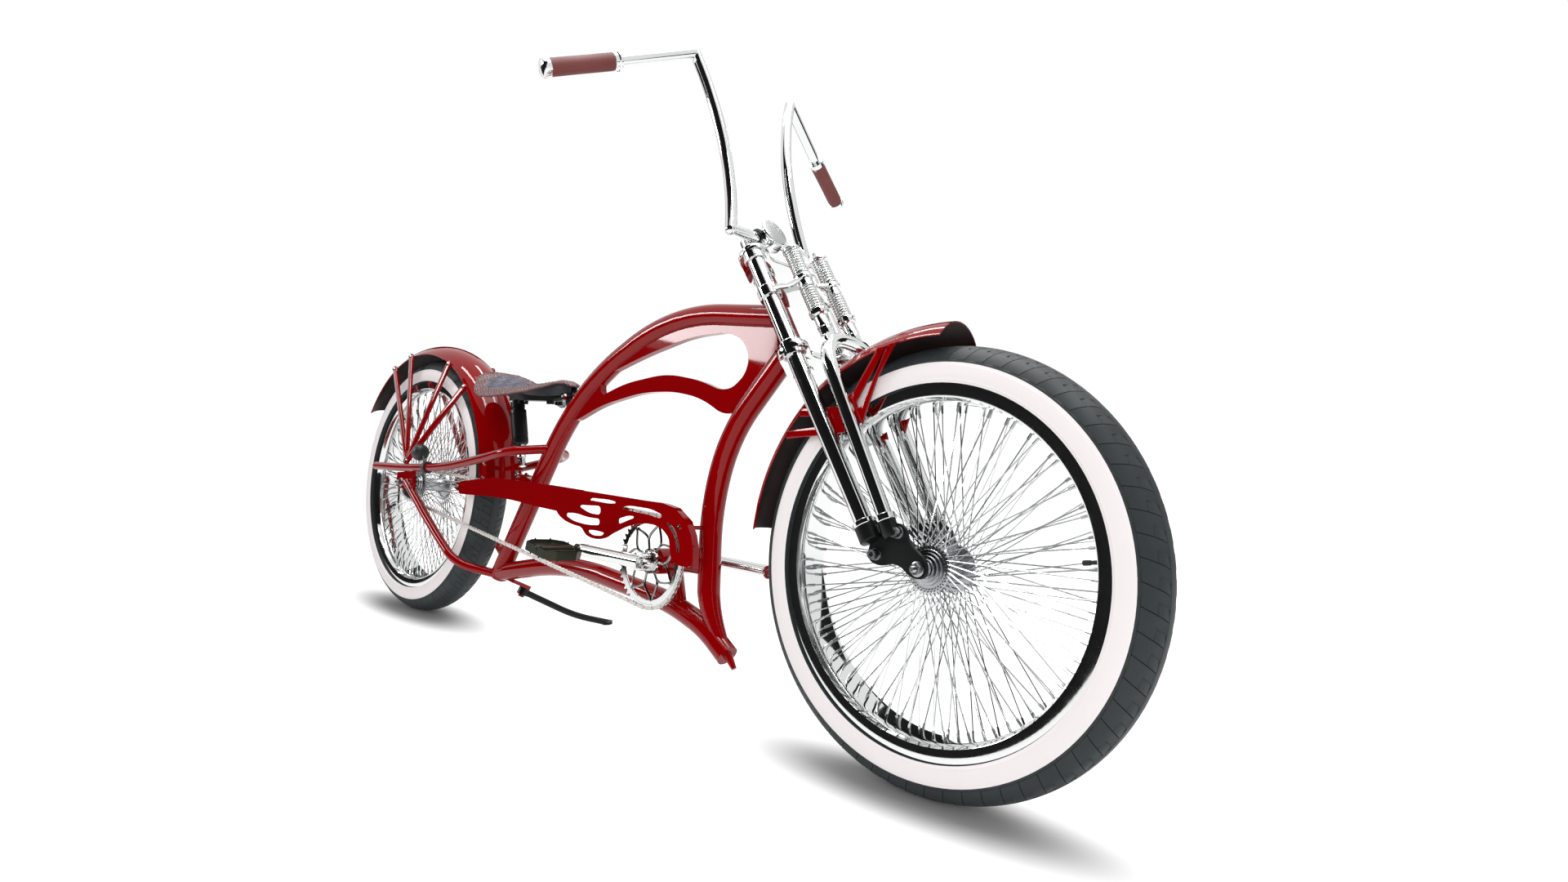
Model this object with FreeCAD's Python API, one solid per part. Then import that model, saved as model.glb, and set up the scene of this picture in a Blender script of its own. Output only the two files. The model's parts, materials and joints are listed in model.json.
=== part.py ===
import FreeCAD, Part
import math
import os
from FreeCAD import Vector

# Stretched chopper bicycle leaning on its side stand.
# Sizes are millimetres. Each piece is drawn upright in the bicycle's own frame:
# origin at the rear hub's centre, +X forward, +Y to the rider's left, +Z up.
# At the end all pieces lean over together onto the stand, and the origin moves
# to the ground under the middle of the leaning bicycle.

# Driving sizes of the whole
WHEELBASE = 1688.0
LEAN = 8.0
HEAD_ANGLE = 56.3          # degrees from the level to the steering axis
HEAD_TOP = (WHEELBASE - 470.0, 525.0)  # x, z of the steering axis at the head tube's top

# Wheels
TYRE_SECTION = 50.0        # radius of the tyre's round section
TYRE_RING = 304.0          # radius of the circle that the section follows
SEAT_GAP = 0.3
BEAD_TOP = TYRE_RING - 14.4
TYRE_SEAT = BEAD_TOP - 12.3
RIM_HALF = 42.0
RIM_LIP = 3.5
RIM_SEAT = TYRE_SEAT - SEAT_GAP
RIM_SHOULDER = RIM_SEAT - 9.0
RIM_INNER = RIM_SEAT - 15.0
RIM_CENTRE_HALF = 30.0
HUB_BARREL = 17.0
FLANGE_RADIUS = 38.0
FLANGE_Y = 32.0            # middle of each hub flange
FLANGE_THICK = 4.0
HUB_HALF = 44.0
AXLE_RADIUS = 5.0
AXLE_GAP = 0.4
AXLE_NUT_RADIUS = 9.0
AXLE_NUT_LENGTH = 9.0
AXLE_STUB = 8.0            # free thread beyond each nut
SPOKES_PER_FLANGE = 24
SPOKE_RADIUS = 1.2
SPOKE_SWEEP = 18.0         # degrees that a spoke turns from the hub to the rim
SPOKE_ROW_Y = 14.0

# Frame tubes: centre lines in the X, Z plane of the frame
TUBE = 23.0                # radius of the arch and of the down tube
LOWER_TUBE = 22.0
ARCH_LINE = [(WHEELBASE - 406.0, 420.0), (WHEELBASE - 703.0, 441.0), (667.0, 271.5),
             (403.0, -203.0)]
DOWN_LINE = [(WHEELBASE - 378.0, 342.0), (WHEELBASE - 503.0, 190.0), (WHEELBASE - 536.0, 40.0),
             (WHEELBASE - 520.0, -118.0)]
LOWER_LINE = [(409.0, -192.0), (705.0, -127.0), (WHEELBASE - 628.0, -158.0),
              (WHEELBASE - 518.0, -190.0), (WHEELBASE - 452.0, -232.0)]
SPIKE_TIP = (WHEELBASE - 431.0, -252.0)
SPIKE_TIP_RADIUS = 5.0
HEAD_TUBE_RADIUS = 20.0
HEAD_TUBE_START = 44.0     # along the steering axis, down from its top point
HEAD_TUBE_END = 234.0
TOP_PLATE = 27.0           # top faces of the two crown plates along the axis
LOWER_PLATE = 244.0
STEERER_RADIUS = 14.0
STEERER_GAP = 1.0
WEB_HALF = 8.0

# Rear stays
STAY_RADIUS = 11.0
STAY_Y = 86.0
DROPOUT_THICK = 8.0

# Bottom bracket and drive
CRANK_X = WHEELBASE - 628.0
CRANK_Z = -74.0
BRACKET_RADIUS = 26.0
BRACKET_HALF = 52.0
CRANK_LENGTH = 175.0
CRANK_Y = 105.0
CRANK_TUBE = 13.0
CRANK_BOSS = 19.0
CRANK_BOSS_HALF = 13.0
CRANK_BOSS_IN = 21.0       # the boss's middle inboard of the arm's line
CRANK_PAST = 18.0          # the arm's tube runs this far past the axle
CRANK_WALL = 2.5
CRANK_AXLE = 10.0
RING_Y = 66.0
CHAIN_PITCH = 12.7
RING_TEETH = 46
SPROCKET_TEETH = 22
RING_THICK = 4.0
RING_RIM = 10.0            # width of the chainring's solid rim
RING_ARMS = 7
RING_FORK = 0.34           # radians from an arm to where each of its branches meets the rim
CHAIN_HALF_WIDTH = 4.0
CHAIN_HALF_HEIGHT = 4.2
CHAIN_GAP = 0.8
GUARD_OUT = 12.0           # from the chain's line out to the guard's plate
GUARD_SHEET = 2.0
GUARD_BOSS = 31.0
PEDAL_Y = 166.0
PEDAL_HALF_WIDTH = 46.0
PEDAL_HALF_LENGTH = 48.0
PEDAL_HALF_THICK = 10.0
PEDAL_PIN = 6.0

# Fenders
FENDER_CROWN = TYRE_RING + TYRE_SECTION + 40.0
FENDER_EDGE = FENDER_CROWN - 30.0
FENDER_SHEET = 2.0
REAR_FENDER_HALF = 62.0
FRONT_FENDER_HALF = 56.0

# Springer fork, measured along the steering axis (s, down) and ahead of it (n)
LEG_AHEAD = 46.0
LEG_Y = 75.0
LEG_RADIUS = 16.0
LEG_START = 34.0
LEG_END = 598.0
SPRING_AHEAD = 103.0
SPRING_Y = 40.0
SPRING_RADIUS = 15.0
SPRING_WIRE = 3.5          # depth of the groove between two turns
SPRING_ROD = 5.0
LUG_START = 119.0          # top of the bracket's lugs along the steering axis
LUG_THICK = 25.0
LUG_RADIUS = 13.0
LUG_LIP = 17.0             # radius of the web's eye round each lug
WEB_DROP = 7.0             # the web's middle below the top of the lugs
SPRING_SEAT = 206.0
FRONT_CROWN = 260.0
FRONT_LEG_RADIUS = 13.0
FRONT_LEG_Y = 74.0
FRONT_LEG_AHEAD = 107.0    # at the crown; the legs come back towards the rockers
ROCKER_Y = 66.0
ROCKER_HALF = 4.0

# Handlebar
BAR_RADIUS = 11.0
GRIP_RADIUS = 16.0
BAR_LINE = [(12.0, 0.0, 47.0), (22.0, 105.0, 41.0), (-91.0, 138.0, 389.0),
            (-131.0, 281.0, 323.0), (-164.0, 412.0, 264.0)]  # from the head tube's top
BAR_BOW = 30.0             # how far each arm bows inwards
STEM_LINE = -32.0          # the stem's barrel along the steering axis
STEM_FACE = 58.0           # its flat face ahead of the axis
STEM_RADIUS = 20.0
BAR_POINTS = [(HEAD_TOP[0] + x, y, HEAD_TOP[1] + z) for x, y, z in BAR_LINE]

# Saddle; columns: x of the section, half width, top z, thickness
SADDLE_SECTIONS = [(338.0, 60.0, 292.0, 14.0), (372.0, 112.0, 300.0, 20.0),
                   (430.0, 124.0, 296.0, 22.0), (500.0, 84.0, 286.0, 22.0),
                   (580.0, 40.0, 292.0, 22.0), (650.0, 22.0, 288.0, 16.0)]
SADDLE_GAP = 0.3

# Side stand
STAND_PIVOT = (468.0, 36.0, -224.0)
STAND_FOOT = (524.0, 262.0)   # x, y of the foot on the ground
STAND_FOLDED = (-0.985, 0.17, 0.03)  # way that the folded leg points
STAND_RADIUS = 8.0
STAND_KNUCKLE = 13.0
STAND_KNUCKLE_THICK = 18.0
STAND_LUG_THICK = 9.0
STAND_PIN = 4.0
STAND_FOOT_RADIUS = 14.0
STAND_FOOT_THICK = 8.0
PIVOT_GAP = 0.3

STRAIGHT_TURN = math.radians(0.6)  # half turns below this stay straight

RIGHT, LEFT = -1, 1
SIDES = {"right": RIGHT, "left": LEFT}

DOWN = Vector(math.cos(math.radians(HEAD_ANGLE)), 0, -math.sin(math.radians(HEAD_ANGLE)))
AHEAD = Vector(math.sin(math.radians(HEAD_ANGLE)), 0, math.cos(math.radians(HEAD_ANGLE)))
STEER_POINT = Vector(HEAD_TOP[0], 0, HEAD_TOP[1])
FRONT_AXLE = Vector(WHEELBASE, 0, 0)
CRANK_CENTRE = Vector(CRANK_X, 0, CRANK_Z)
Y_AXIS = Vector(0, 1, 0)


def fork_point(s, n, y=0.0):
    """Point of the fork: s down the steering axis, n ahead of it, y to the left."""
    return STEER_POINT + DOWN * s + AHEAD * n + Vector(0, y, 0)


def in_plane(points, y=0.0):
    """Space points from x, z pairs at one y."""
    return [Vector(x, y, z) for x, z in points]


def rod(start, end, radius):
    """Round bar from one point to another."""
    run = end - start
    return Part.makeCylinder(radius, run.Length, start, run)


def ring(centre, axis, outer, inner, length):
    """Round collar or washer, centred on a point of its axis."""
    unit = Vector(axis).normalize()
    start = centre - unit * (length / 2)
    body = Part.makeCylinder(outer, length, start, unit)
    return body.cut(Part.makeCylinder(inner, length + 2, start - unit, unit))


def bent_path(points, share=0.49):
    """Wire of straight runs joined by the largest tangent arcs that the runs allow."""
    edges = []
    last = points[0]
    for before, corner, after in zip(points, points[1:], points[2:]):
        way_in = (corner - before)
        way_out = (after - corner)
        trim = share * min(way_in.Length, way_out.Length)
        way_in.normalize()
        way_out.normalize()
        half_turn = way_in.getAngle(way_out) / 2
        radius = trim / math.tan(half_turn)
        start = corner - way_in * trim
        end = corner + way_out * trim
        inward = (way_out - way_in).normalize()
        middle = corner + inward * (radius / math.cos(half_turn) - radius)
        edges.append(Part.LineSegment(last, start).toShape())
        edges.append(Part.Arc(start, middle, end).toShape())
        last = end
    edges.append(Part.LineSegment(last, points[-1]).toShape())
    return Part.Wire(edges)


def bent_tube(points, radius, share=0.49):
    """Round tube along a bent path, its ends square to the path."""
    path = bent_path(points, share)
    circle = Part.Wire(Part.makeCircle(radius, points[0], points[1] - points[0]))
    return path.makePipe(Part.Face(circle))


def plate(points, half_thick, y=0.0):
    """Flat plate in the X, Z plane from a closed outline of x, z pairs."""
    outline = in_plane(points, y - half_thick)
    face = Part.Face(Part.makePolygon(outline + outline[:1]))
    return face.extrude(Vector(0, 2 * half_thick, 0))


def rounded_plate(points, half_thick, y=0.0, share=0.45):
    """Flat plate whose outline turns each corner on the largest arc that fits."""
    outline = in_plane(points, y - half_thick)
    ends = []
    edges = []
    for before, corner, after in zip(outline[-1:] + outline, outline, outline[1:] + outline[:1]):
        way_in = corner - before
        way_out = after - corner
        trim = share * min(way_in.Length, way_out.Length)
        half_turn = way_in.getAngle(way_out) / 2
        way_in.normalize()
        way_out.normalize()
        start, end = corner - way_in * trim, corner + way_out * trim
        if half_turn < STRAIGHT_TURN:
            edges.append(Part.LineSegment(start, end).toShape())
        else:
            inward = (way_out - way_in).normalize()
            radius = trim / math.tan(half_turn)
            middle = corner + inward * (radius / math.cos(half_turn) - radius)
            edges.append(Part.Arc(start, middle, end).toShape())
        ends.append((start, end))
    for (_, end), (start, _) in zip(ends, ends[1:] + ends[:1]):
        edges.append(Part.LineSegment(end, start).toShape())
    face = Part.Face(Part.Wire(Part.__sortEdges__(edges)))
    return face.extrude(Vector(0, 2 * half_thick, 0))


def revolve_about_axle(profile, centre):
    """Ring about an axle from a closed profile of y, radius pairs."""
    points = [centre + Vector(0, y, r) for y, r in profile]
    face = Part.Face(Part.makePolygon(points + points[:1]))
    return face.revolve(centre, Y_AXIS, 360)


def join(shapes):
    """One solid from pieces that touch or overlap."""
    return shapes[0].multiFuse(shapes[1:]).removeSplitter()


def mirrored(shape):
    """The same piece on the other side of the bicycle."""
    return shape.mirror(Vector(0, 0, 0), Y_AXIS)


def both_sides(shape):
    """The piece and its mirror image as two solids of one node."""
    return Part.makeCompound([shape, mirrored(shape)])


def tyre(centre):
    """Balloon tyre: round section, seated between the lips of the rim."""
    side = RIM_HALF - RIM_LIP - SEAT_GAP
    wall = math.sqrt(TYRE_SECTION ** 2 - (TYRE_RING - BEAD_TOP) ** 2)
    corners = [(-wall, BEAD_TOP), (-side, BEAD_TOP), (-side, TYRE_SEAT), (side, TYRE_SEAT),
               (side, BEAD_TOP), (wall, BEAD_TOP)]
    points = [centre + Vector(0, y, r) for y, r in corners]
    crown = centre + Vector(0, 0, TYRE_RING + TYRE_SECTION)
    edges = [Part.LineSegment(a, b).toShape() for a, b in zip(points, points[1:])]
    edges.append(Part.Arc(points[-1], crown, points[0]).toShape())
    return Part.Face(Part.Wire(edges)).revolve(centre, Y_AXIS, 360)


def rim(centre):
    """Wide polished rim with a lip at each side and a dished inner wall."""
    lip = RIM_HALF - RIM_LIP
    top = BEAD_TOP - SEAT_GAP
    half = [(lip, RIM_SEAT), (lip, top), (RIM_HALF, top), (RIM_HALF, RIM_SHOULDER),
            (RIM_CENTRE_HALF, RIM_INNER)]
    profile = half + [(-y, r) for y, r in reversed(half)]
    return revolve_about_axle(profile, centre)


def hub(centre):
    """Hub shell: barrel, two spoke flanges and stepped ends, bored for the axle."""
    flange_in = FLANGE_Y - FLANGE_THICK / 2
    flange_out = FLANGE_Y + FLANGE_THICK / 2
    bore = AXLE_RADIUS + AXLE_GAP
    half = [(0.0, HUB_BARREL), (flange_in - 4, HUB_BARREL), (flange_in, FLANGE_RADIUS),
            (flange_out, FLANGE_RADIUS), (flange_out, HUB_BARREL + 3),
            (HUB_HALF, HUB_BARREL - 3), (HUB_HALF, bore)]
    profile = half + [(-y, r) for y, r in reversed(half[1:])]
    return revolve_about_axle(profile, centre)


def spokes(centre):
    """Laced spokes from each flange to the rim, alternately leading and trailing."""
    solids = []
    step = 360.0 / SPOKES_PER_FLANGE
    hub_radius = FLANGE_RADIUS + SEAT_GAP
    rim_radius = RIM_INNER - SEAT_GAP
    for side in SIDES.values():
        for index in range(SPOKES_PER_FLANGE):
            way = 1 if index % 2 else -1
            start_angle = math.radians(step * (index + 0.25 * side))
            end_angle = start_angle + math.radians(way * SPOKE_SWEEP)
            y_hub = side * (FLANGE_Y + way * 1.0)
            start = centre + Vector(hub_radius * math.cos(start_angle), y_hub,
                                    hub_radius * math.sin(start_angle))
            end = centre + Vector(rim_radius * math.cos(end_angle), side * SPOKE_ROW_Y,
                                  rim_radius * math.sin(end_angle))
            solids.append(rod(start, end, SPOKE_RADIUS))
    return Part.makeCompound(solids)


def axle(centre, nut_y):
    """Fixed axle through the hub, with a nut and a free stub at each end."""
    half_length = nut_y + AXLE_NUT_LENGTH + AXLE_STUB
    shaft = rod(centre - Y_AXIS * half_length, centre + Y_AXIS * half_length, AXLE_RADIUS)
    nuts = []
    for side in SIDES.values():
        nut = Part.makeCylinder(AXLE_NUT_RADIUS, AXLE_NUT_LENGTH,
                                centre + Y_AXIS * (side * nut_y), Y_AXIS * side)
        nuts.append(nut)
    return join([shaft] + nuts)


def head_tube():
    """Head tube with a bore for the steerer."""
    start = fork_point(HEAD_TUBE_START, 0)
    length = HEAD_TUBE_END - HEAD_TUBE_START
    body = Part.makeCylinder(HEAD_TUBE_RADIUS, length, start, DOWN)
    bore = Part.makeCylinder(STEERER_RADIUS + STEERER_GAP, length + 2, start - DOWN, DOWN)
    return body.cut(bore)


def head_tube_solid(extra=0.0):
    """The head tube's outer cylinder, for trimming the tubes that meet it."""
    start = fork_point(HEAD_TUBE_START - 20, 0)
    length = HEAD_TUBE_END - HEAD_TUBE_START + 40
    return Part.makeCylinder(HEAD_TUBE_RADIUS + extra, length, start, DOWN)


def arch_tube():
    """The long top tube that arches over and runs on as the seat tube."""
    return bent_tube(in_plane(ARCH_LINE), TUBE).cut(head_tube_solid())


def down_tube():
    """Down tube that bows forward of the cranks and ends in a spike."""
    tube = bent_tube(in_plane(DOWN_LINE), TUBE)
    start = Vector(DOWN_LINE[-1][0], 0, DOWN_LINE[-1][1])
    way = start - Vector(DOWN_LINE[-2][0], 0, DOWN_LINE[-2][1])
    tip = Vector(SPIKE_TIP[0], 0, SPIKE_TIP[1])
    # columns: x, z, radius, turn of the section from the tube's direction
    sections = [(start.x, start.z, TUBE, 0.0), (tip.x - 69.0, tip.z + 82.0, 19.0, 14.0),
                (tip.x - 37.0, tip.z + 40.0, 12.5, 27.0), (tip.x, tip.z, SPIKE_TIP_RADIUS, 36.0)]
    heading = math.atan2(way.z, way.x)
    circles = []
    for x, z, radius, turn in sections:
        angle = heading + math.radians(turn)
        normal = Vector(math.cos(angle), 0, math.sin(angle))
        circles.append(Part.Wire(Part.makeCircle(radius, Vector(x, 0, z), normal)))
    spike = Part.makeLoft(circles, True, False)
    return join([tube, spike]).cut(head_tube_solid())


def web_plate():
    """Flat web below the arch, with the long window cut through it."""
    # columns: share of the way from the seat tube's bend to the head tube, height
    outline = [(-0.044, 205.0), (0.054, 300.0), (0.216, 350.0), (0.379, 395.0),
               (0.541, 425.0), (0.737, 430.0), (0.989, 420.0), (1.039, 345.0),
               (0.907, 240.0), (0.818, 228.0), (0.702, 261.0), (0.567, 274.0),
               (0.393, 271.0), (0.164, 240.0), (0.011, 201.0)]
    window = [(0.146, 285.0), (0.156, 305.0), (0.374, 350.0), (0.623, 389.0),
              (0.798, 395.0), (0.876, 376.0), (0.907, 340.0), (0.893, 308.0),
              (0.842, 282.0), (0.787, 279.0), (0.685, 298.0), (0.517, 312.0),
              (0.296, 291.0), (0.159, 262.0)]
    rear, front = ARCH_LINE[2][0], ARCH_LINE[0][0]

    def placed(points):
        return [(rear + share * (front - rear), z) for share, z in points]

    body = rounded_plate(placed(outline), WEB_HALF).cut(rounded_plate(placed(window), WEB_HALF + 1))
    for neighbour in (head_tube_solid(), bent_tube(in_plane(ARCH_LINE), TUBE),
                      bent_tube(in_plane(DOWN_LINE), TUBE)):
        body = body.cut(neighbour)
    return max(body.Solids, key=lambda solid: solid.Volume)


def lower_tube():
    """Lower tube from the rear corner, bowed under the bracket to the spike."""
    tube = bent_tube(in_plane(LOWER_LINE), LOWER_TUBE)
    tube = tube.cut(bent_tube(in_plane(ARCH_LINE), TUBE)).cut(down_tube())
    return max(tube.Solids, key=lambda solid: solid.Volume)


def bottom_bracket():
    """Wide bracket shell on a strut that stands on the lower tube."""
    shell = Part.makeCylinder(BRACKET_RADIUS, 2 * BRACKET_HALF,
                              CRANK_CENTRE - Y_AXIS * BRACKET_HALF, Y_AXIS)
    strut = rod(CRANK_CENTRE, Vector(CRANK_X + 30, 0, CRANK_Z - 92), 15.0)
    bridge = rod(CRANK_CENTRE, Vector(DOWN_LINE[2][0], 0, CRANK_Z), 17.0)
    body = join([shell, strut, bridge])
    bore = Part.makeCylinder(CRANK_AXLE + 1, 2 * BRACKET_HALF + 2,
                             CRANK_CENTRE - Y_AXIS * (BRACKET_HALF + 1), Y_AXIS)
    body = body.cut(bore)
    body = body.cut(bent_tube(in_plane(LOWER_LINE), LOWER_TUBE))
    body = body.cut(bent_tube(in_plane(DOWN_LINE), TUBE))
    return max(body.Solids, key=lambda solid: solid.Volume)


def upper_stay():
    """Left upper stay: past the hub with a round end, then in to the seat tube."""
    line = [(-175.0, STAY_Y, 35.0), (12.0, STAY_Y, 41.0), (240.0, STAY_Y, 58.0),
            (436.0, STAY_Y, 96.0), (525.0, STAY_Y, 116.0), (592.0, 0.0, 132.0)]
    points = [Vector(*point) for point in line]
    tube = bent_tube(points, STAY_RADIUS, 0.45)
    tube = join([tube, Part.makeSphere(STAY_RADIUS, points[0])])
    tube = tube.cut(bent_tube(in_plane(ARCH_LINE), TUBE))
    return max(tube.Solids, key=lambda solid: solid.Volume)


def lower_stay():
    """Left lower stay from the dropout down to the frame's rear corner."""
    line = [(24.0, STAY_Y, 4.0), (172.0, STAY_Y - 4, -96.0), (316.0, STAY_Y - 10, -182.0),
            (410.0, 8.0, -197.0)]
    points = [Vector(*point) for point in line]
    tube = bent_tube(points, STAY_RADIUS, 0.45)
    tube = tube.cut(bent_tube(in_plane(ARCH_LINE), TUBE))
    tube = tube.cut(bent_tube(in_plane(LOWER_LINE), LOWER_TUBE))
    return max(tube.Solids, key=lambda solid: solid.Volume)


def dropout():
    """Left dropout plate that carries the axle and joins the stays."""
    outline = [(-30.0, 26.0), (60.0, 34.0), (74.0, -22.0), (30.0, -14.0), (14.0, -16.0),
               (-14.0, -16.0), (-30.0, -8.0)]
    body = plate(outline, DROPOUT_THICK / 2, STAY_Y)
    slot = Part.makeCylinder(AXLE_RADIUS + SEAT_GAP, 2 * DROPOUT_THICK,
                             Vector(0, STAY_Y - DROPOUT_THICK, 0), Y_AXIS)
    body = body.cut(slot).cut(upper_stay()).cut(lower_stay())
    return max(body.Solids, key=lambda solid: solid.Volume)


def fender(centre, half_width, start_angle, end_angle):
    """Crowned sheet fender round a wheel between two angles from straight ahead."""
    sag = FENDER_CROWN - FENDER_EDGE
    points = []
    for inset in (0.0, FENDER_SHEET):
        points.append([centre + Vector(0, -half_width + inset, FENDER_EDGE),
                       centre + Vector(0, 0, FENDER_CROWN - inset),
                       centre + Vector(0, half_width - inset, FENDER_EDGE),
                       centre + Vector(0, -0.72 * (half_width - inset),
                                       FENDER_EDGE + 0.55 * (sag - inset)),
                       centre + Vector(0, 0.72 * (half_width - inset),
                                       FENDER_EDGE + 0.55 * (sag - inset))])
    outer, inner = points
    outer_arc = Part.Arc(outer[0], outer[1], outer[2]).toShape()
    inner_arc = Part.Arc(inner[0], inner[1], inner[2]).toShape()
    edges = [outer_arc, Part.LineSegment(outer[2], inner[2]).toShape(), inner_arc,
             Part.LineSegment(inner[0], outer[0]).toShape()]
    face = Part.Face(Part.Wire(Part.__sortEdges__(edges)))
    face.rotate(centre, Y_AXIS, 90 - start_angle)
    return face.revolve(centre, Y_AXIS, start_angle - end_angle)


def fender_point(centre, angle, y, radius):
    """Point beside a wheel at an angle from straight ahead."""
    turn = math.radians(angle)
    return centre + Vector(radius * math.cos(turn), y, radius * math.sin(turn))


def rear_struts():
    """Two V-shaped pairs of thin fender struts on the left of the rear wheel."""
    tab = Vector(14.0, STAY_Y, 60.0)
    rods = []
    for angle in (118.0, 102.0, 66.0, 48.0):
        edge = fender_point(Vector(0, 0, 0), angle, REAR_FENDER_HALF + 4.0, FENDER_EDGE)
        rods.append(rod(tab, edge, 4.0))
    rods.append(rod(tab, Vector(14.0, STAY_Y, 46.0), 8.0))
    body = join(rods)
    return max(body.cut(upper_stay()).Solids, key=lambda solid: solid.Volume)


def chain_loop():
    """The chain as one closed band round the ring and the sprocket."""
    ring_r = CHAIN_PITCH / (2 * math.sin(math.pi / RING_TEETH))
    sprocket_r = CHAIN_PITCH / (2 * math.sin(math.pi / SPROCKET_TEETH))

    def loop_face(offset):
        big, small = ring_r + offset, sprocket_r + offset
        run = math.hypot(CRANK_X, CRANK_Z)
        slope = math.atan2(CRANK_Z, CRANK_X)
        open_angle = math.acos((big - small) / run)
        points = {}
        for name, radius, centre in (("big", big, (CRANK_X, CRANK_Z)), ("small", small, (0, 0))):
            for side in (1, -1):
                angle = slope + math.pi - side * open_angle
                points[name, side] = Vector(centre[0] + radius * math.cos(angle), 0,
                                            centre[1] + radius * math.sin(angle))
        front = Vector(CRANK_X + big * math.cos(slope), 0, CRANK_Z + big * math.sin(slope))
        back = Vector(-small * math.cos(slope), 0, -small * math.sin(slope))
        wire = Part.Wire([Part.Arc(points["big", 1], front, points["big", -1]).toShape(),
                          Part.LineSegment(points["big", -1], points["small", -1]).toShape(),
                          Part.Arc(points["small", -1], back, points["small", 1]).toShape(),
                          Part.LineSegment(points["small", 1], points["big", 1]).toShape()])
        return Part.Face(wire)

    band = loop_face(CHAIN_HALF_HEIGHT).cut(loop_face(-CHAIN_HALF_HEIGHT))
    body = band.extrude(Vector(0, 2 * CHAIN_HALF_WIDTH, 0))
    body.translate(Vector(0, -RING_Y - CHAIN_HALF_WIDTH, 0))
    return body


def from_crank(points):
    """Outline points given as x, z from the crank's centre."""
    return [(CRANK_X + x, CRANK_Z + z) for x, z in points]


def chain_guard():
    """Right-hand chain guard: side plate with flame slots, a boss and a folded rim."""
    # columns of every table here: x from the crank's centre, z from the crank's centre
    rim_line = [(-614.0, 122.0), (-411.0, 123.0), (-228.0, 121.0), (-47.0, 119.0), (37.0, 119.0),
                (72.0, 113.0), (110.0, 91.0), (127.0, 65.0), (136.0, 40.0), (139.0, 6.0)]
    under = [(96.0, 5.0), (75.0, 15.0), (69.0, 36.0), (64.0, 54.0), (42.0, 69.0), (19.0, 74.0),
             (-10.0, 74.0), (-45.0, 68.0), (-68.0, 61.0), (-91.0, 51.0), (-115.0, 40.0),
             (-132.0, 30.0), (-157.0, 24.0), (-184.0, 24.0), (-205.0, 29.0), (-221.0, 43.0),
             (-256.0, 45.0), (-289.0, 51.0), (-312.0, 61.0), (-319.0, 68.0), (-404.0, 70.0),
             (-514.0, 76.0), (-609.0, 75.0), (-760.0, 68.0), (-768.0, 98.0)]
    slots = [[(-204.0, 103.0), (-195.0, 108.0), (-133.0, 110.0), (-101.0, 106.0), (-131.0, 102.0)],
             [(-237.0, 86.0), (-229.0, 90.0), (-162.0, 94.0), (-159.0, 76.0), (-199.0, 75.0)],
             [(-295.0, 66.0), (-247.0, 71.0), (-204.0, 66.0), (-161.0, 67.0), (-159.0, 54.0),
              (-201.0, 50.0), (-257.0, 53.0)],
             [(-204.0, 39.0), (-170.0, 42.0), (-138.0, 40.0), (-148.0, 33.0), (-180.0, 30.0)],
             [(-100.0, 96.0), (-69.0, 104.0), (3.0, 104.0), (38.0, 96.0), (34.0, 88.0),
              (4.0, 92.0), (-37.0, 93.0)],
             [(-98.0, 74.0), (-66.0, 84.0), (-39.0, 84.0), (-64.0, 75.0), (-95.0, 63.0)],
             [(46.0, 90.0), (78.0, 74.0), (92.0, 54.0), (100.0, 33.0), (92.0, 26.0),
              (84.0, 50.0), (66.0, 70.0)]]
    y = -(RING_Y + GUARD_OUT)
    side = rounded_plate(from_crank(rim_line + under), GUARD_SHEET / 2, y)
    for slot in slots:
        side = side.cut(rounded_plate(from_crank(slot), GUARD_SHEET, y))
    boss_x, boss_z = from_crank([(-130.0, 70.0)])[0]
    boss = Part.makeCone(GUARD_BOSS, GUARD_BOSS - 6.0, 5.0, Vector(boss_x, y, boss_z), -Y_AXIS)
    inner = [(x - 1.0, z - 2.0) for x, z in rim_line]
    flange = plate(from_crank(rim_line + inner[::-1]), 8.0, -(RING_Y + 5.0))
    rear_tab = plate([(400.0, 40.0), (426.0, 40.0), (420.0, 92.0), (406.0, 88.0)], 1.5, y)
    front_tab = rod(Vector(CRANK_X + 96.0, y, CRANK_Z + 78.0),
                    Vector(CRANK_X + 96.0, 0, CRANK_Z + 78.0), 4.0)
    body = join([side, boss, flange, rear_tab, front_tab]).cut(upper_stay_right())
    body = body.cut(bent_tube(in_plane(DOWN_LINE), TUBE))
    return max(body.Solids, key=lambda solid: solid.Volume)


def saddle():
    """Sprung leather saddle top as a plain dished pan."""
    wires = []
    for x, half, top, thick in SADDLE_SECTIONS:
        corner = thick / 3
        points = [Vector(x, -half, top - thick), Vector(x, half, top - thick),
                  Vector(x, half, top - corner), Vector(x, half - corner, top),
                  Vector(x, -half + corner, top), Vector(x, -half, top - corner)]
        wires.append(Part.makePolygon(points + points[:1]))
    return Part.makeLoft(wires, True, True)


def saddle_frame():
    """Seat pan bracket with the pivot bolt at the nose and the shock's top eye."""
    seat = [(x, top - thick - SADDLE_GAP) for x, _, top, thick in SADDLE_SECTIONS[2:5]]
    pan = plate([(384.0, 266.0)] + seat + [(640.0, 262.0), (650.0, 250.0), (600.0, 246.0),
                                           (420.0, 246.0), (384.0, 244.0)], 14.0)
    tab = plate([(610.0, 268.0), (660.0, 268.0), (690.0, 240.0), (640.0, 215.0)], 6.0)
    bolt = rod(Vector(640.0, -24.0, 256.0), Vector(640.0, 24.0, 256.0), 7.0)
    body = join([pan, tab, bolt]).cut(bent_tube(in_plane(ARCH_LINE), TUBE)).cut(shock())
    return max(body.Solids, key=lambda solid: solid.Volume)


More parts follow.
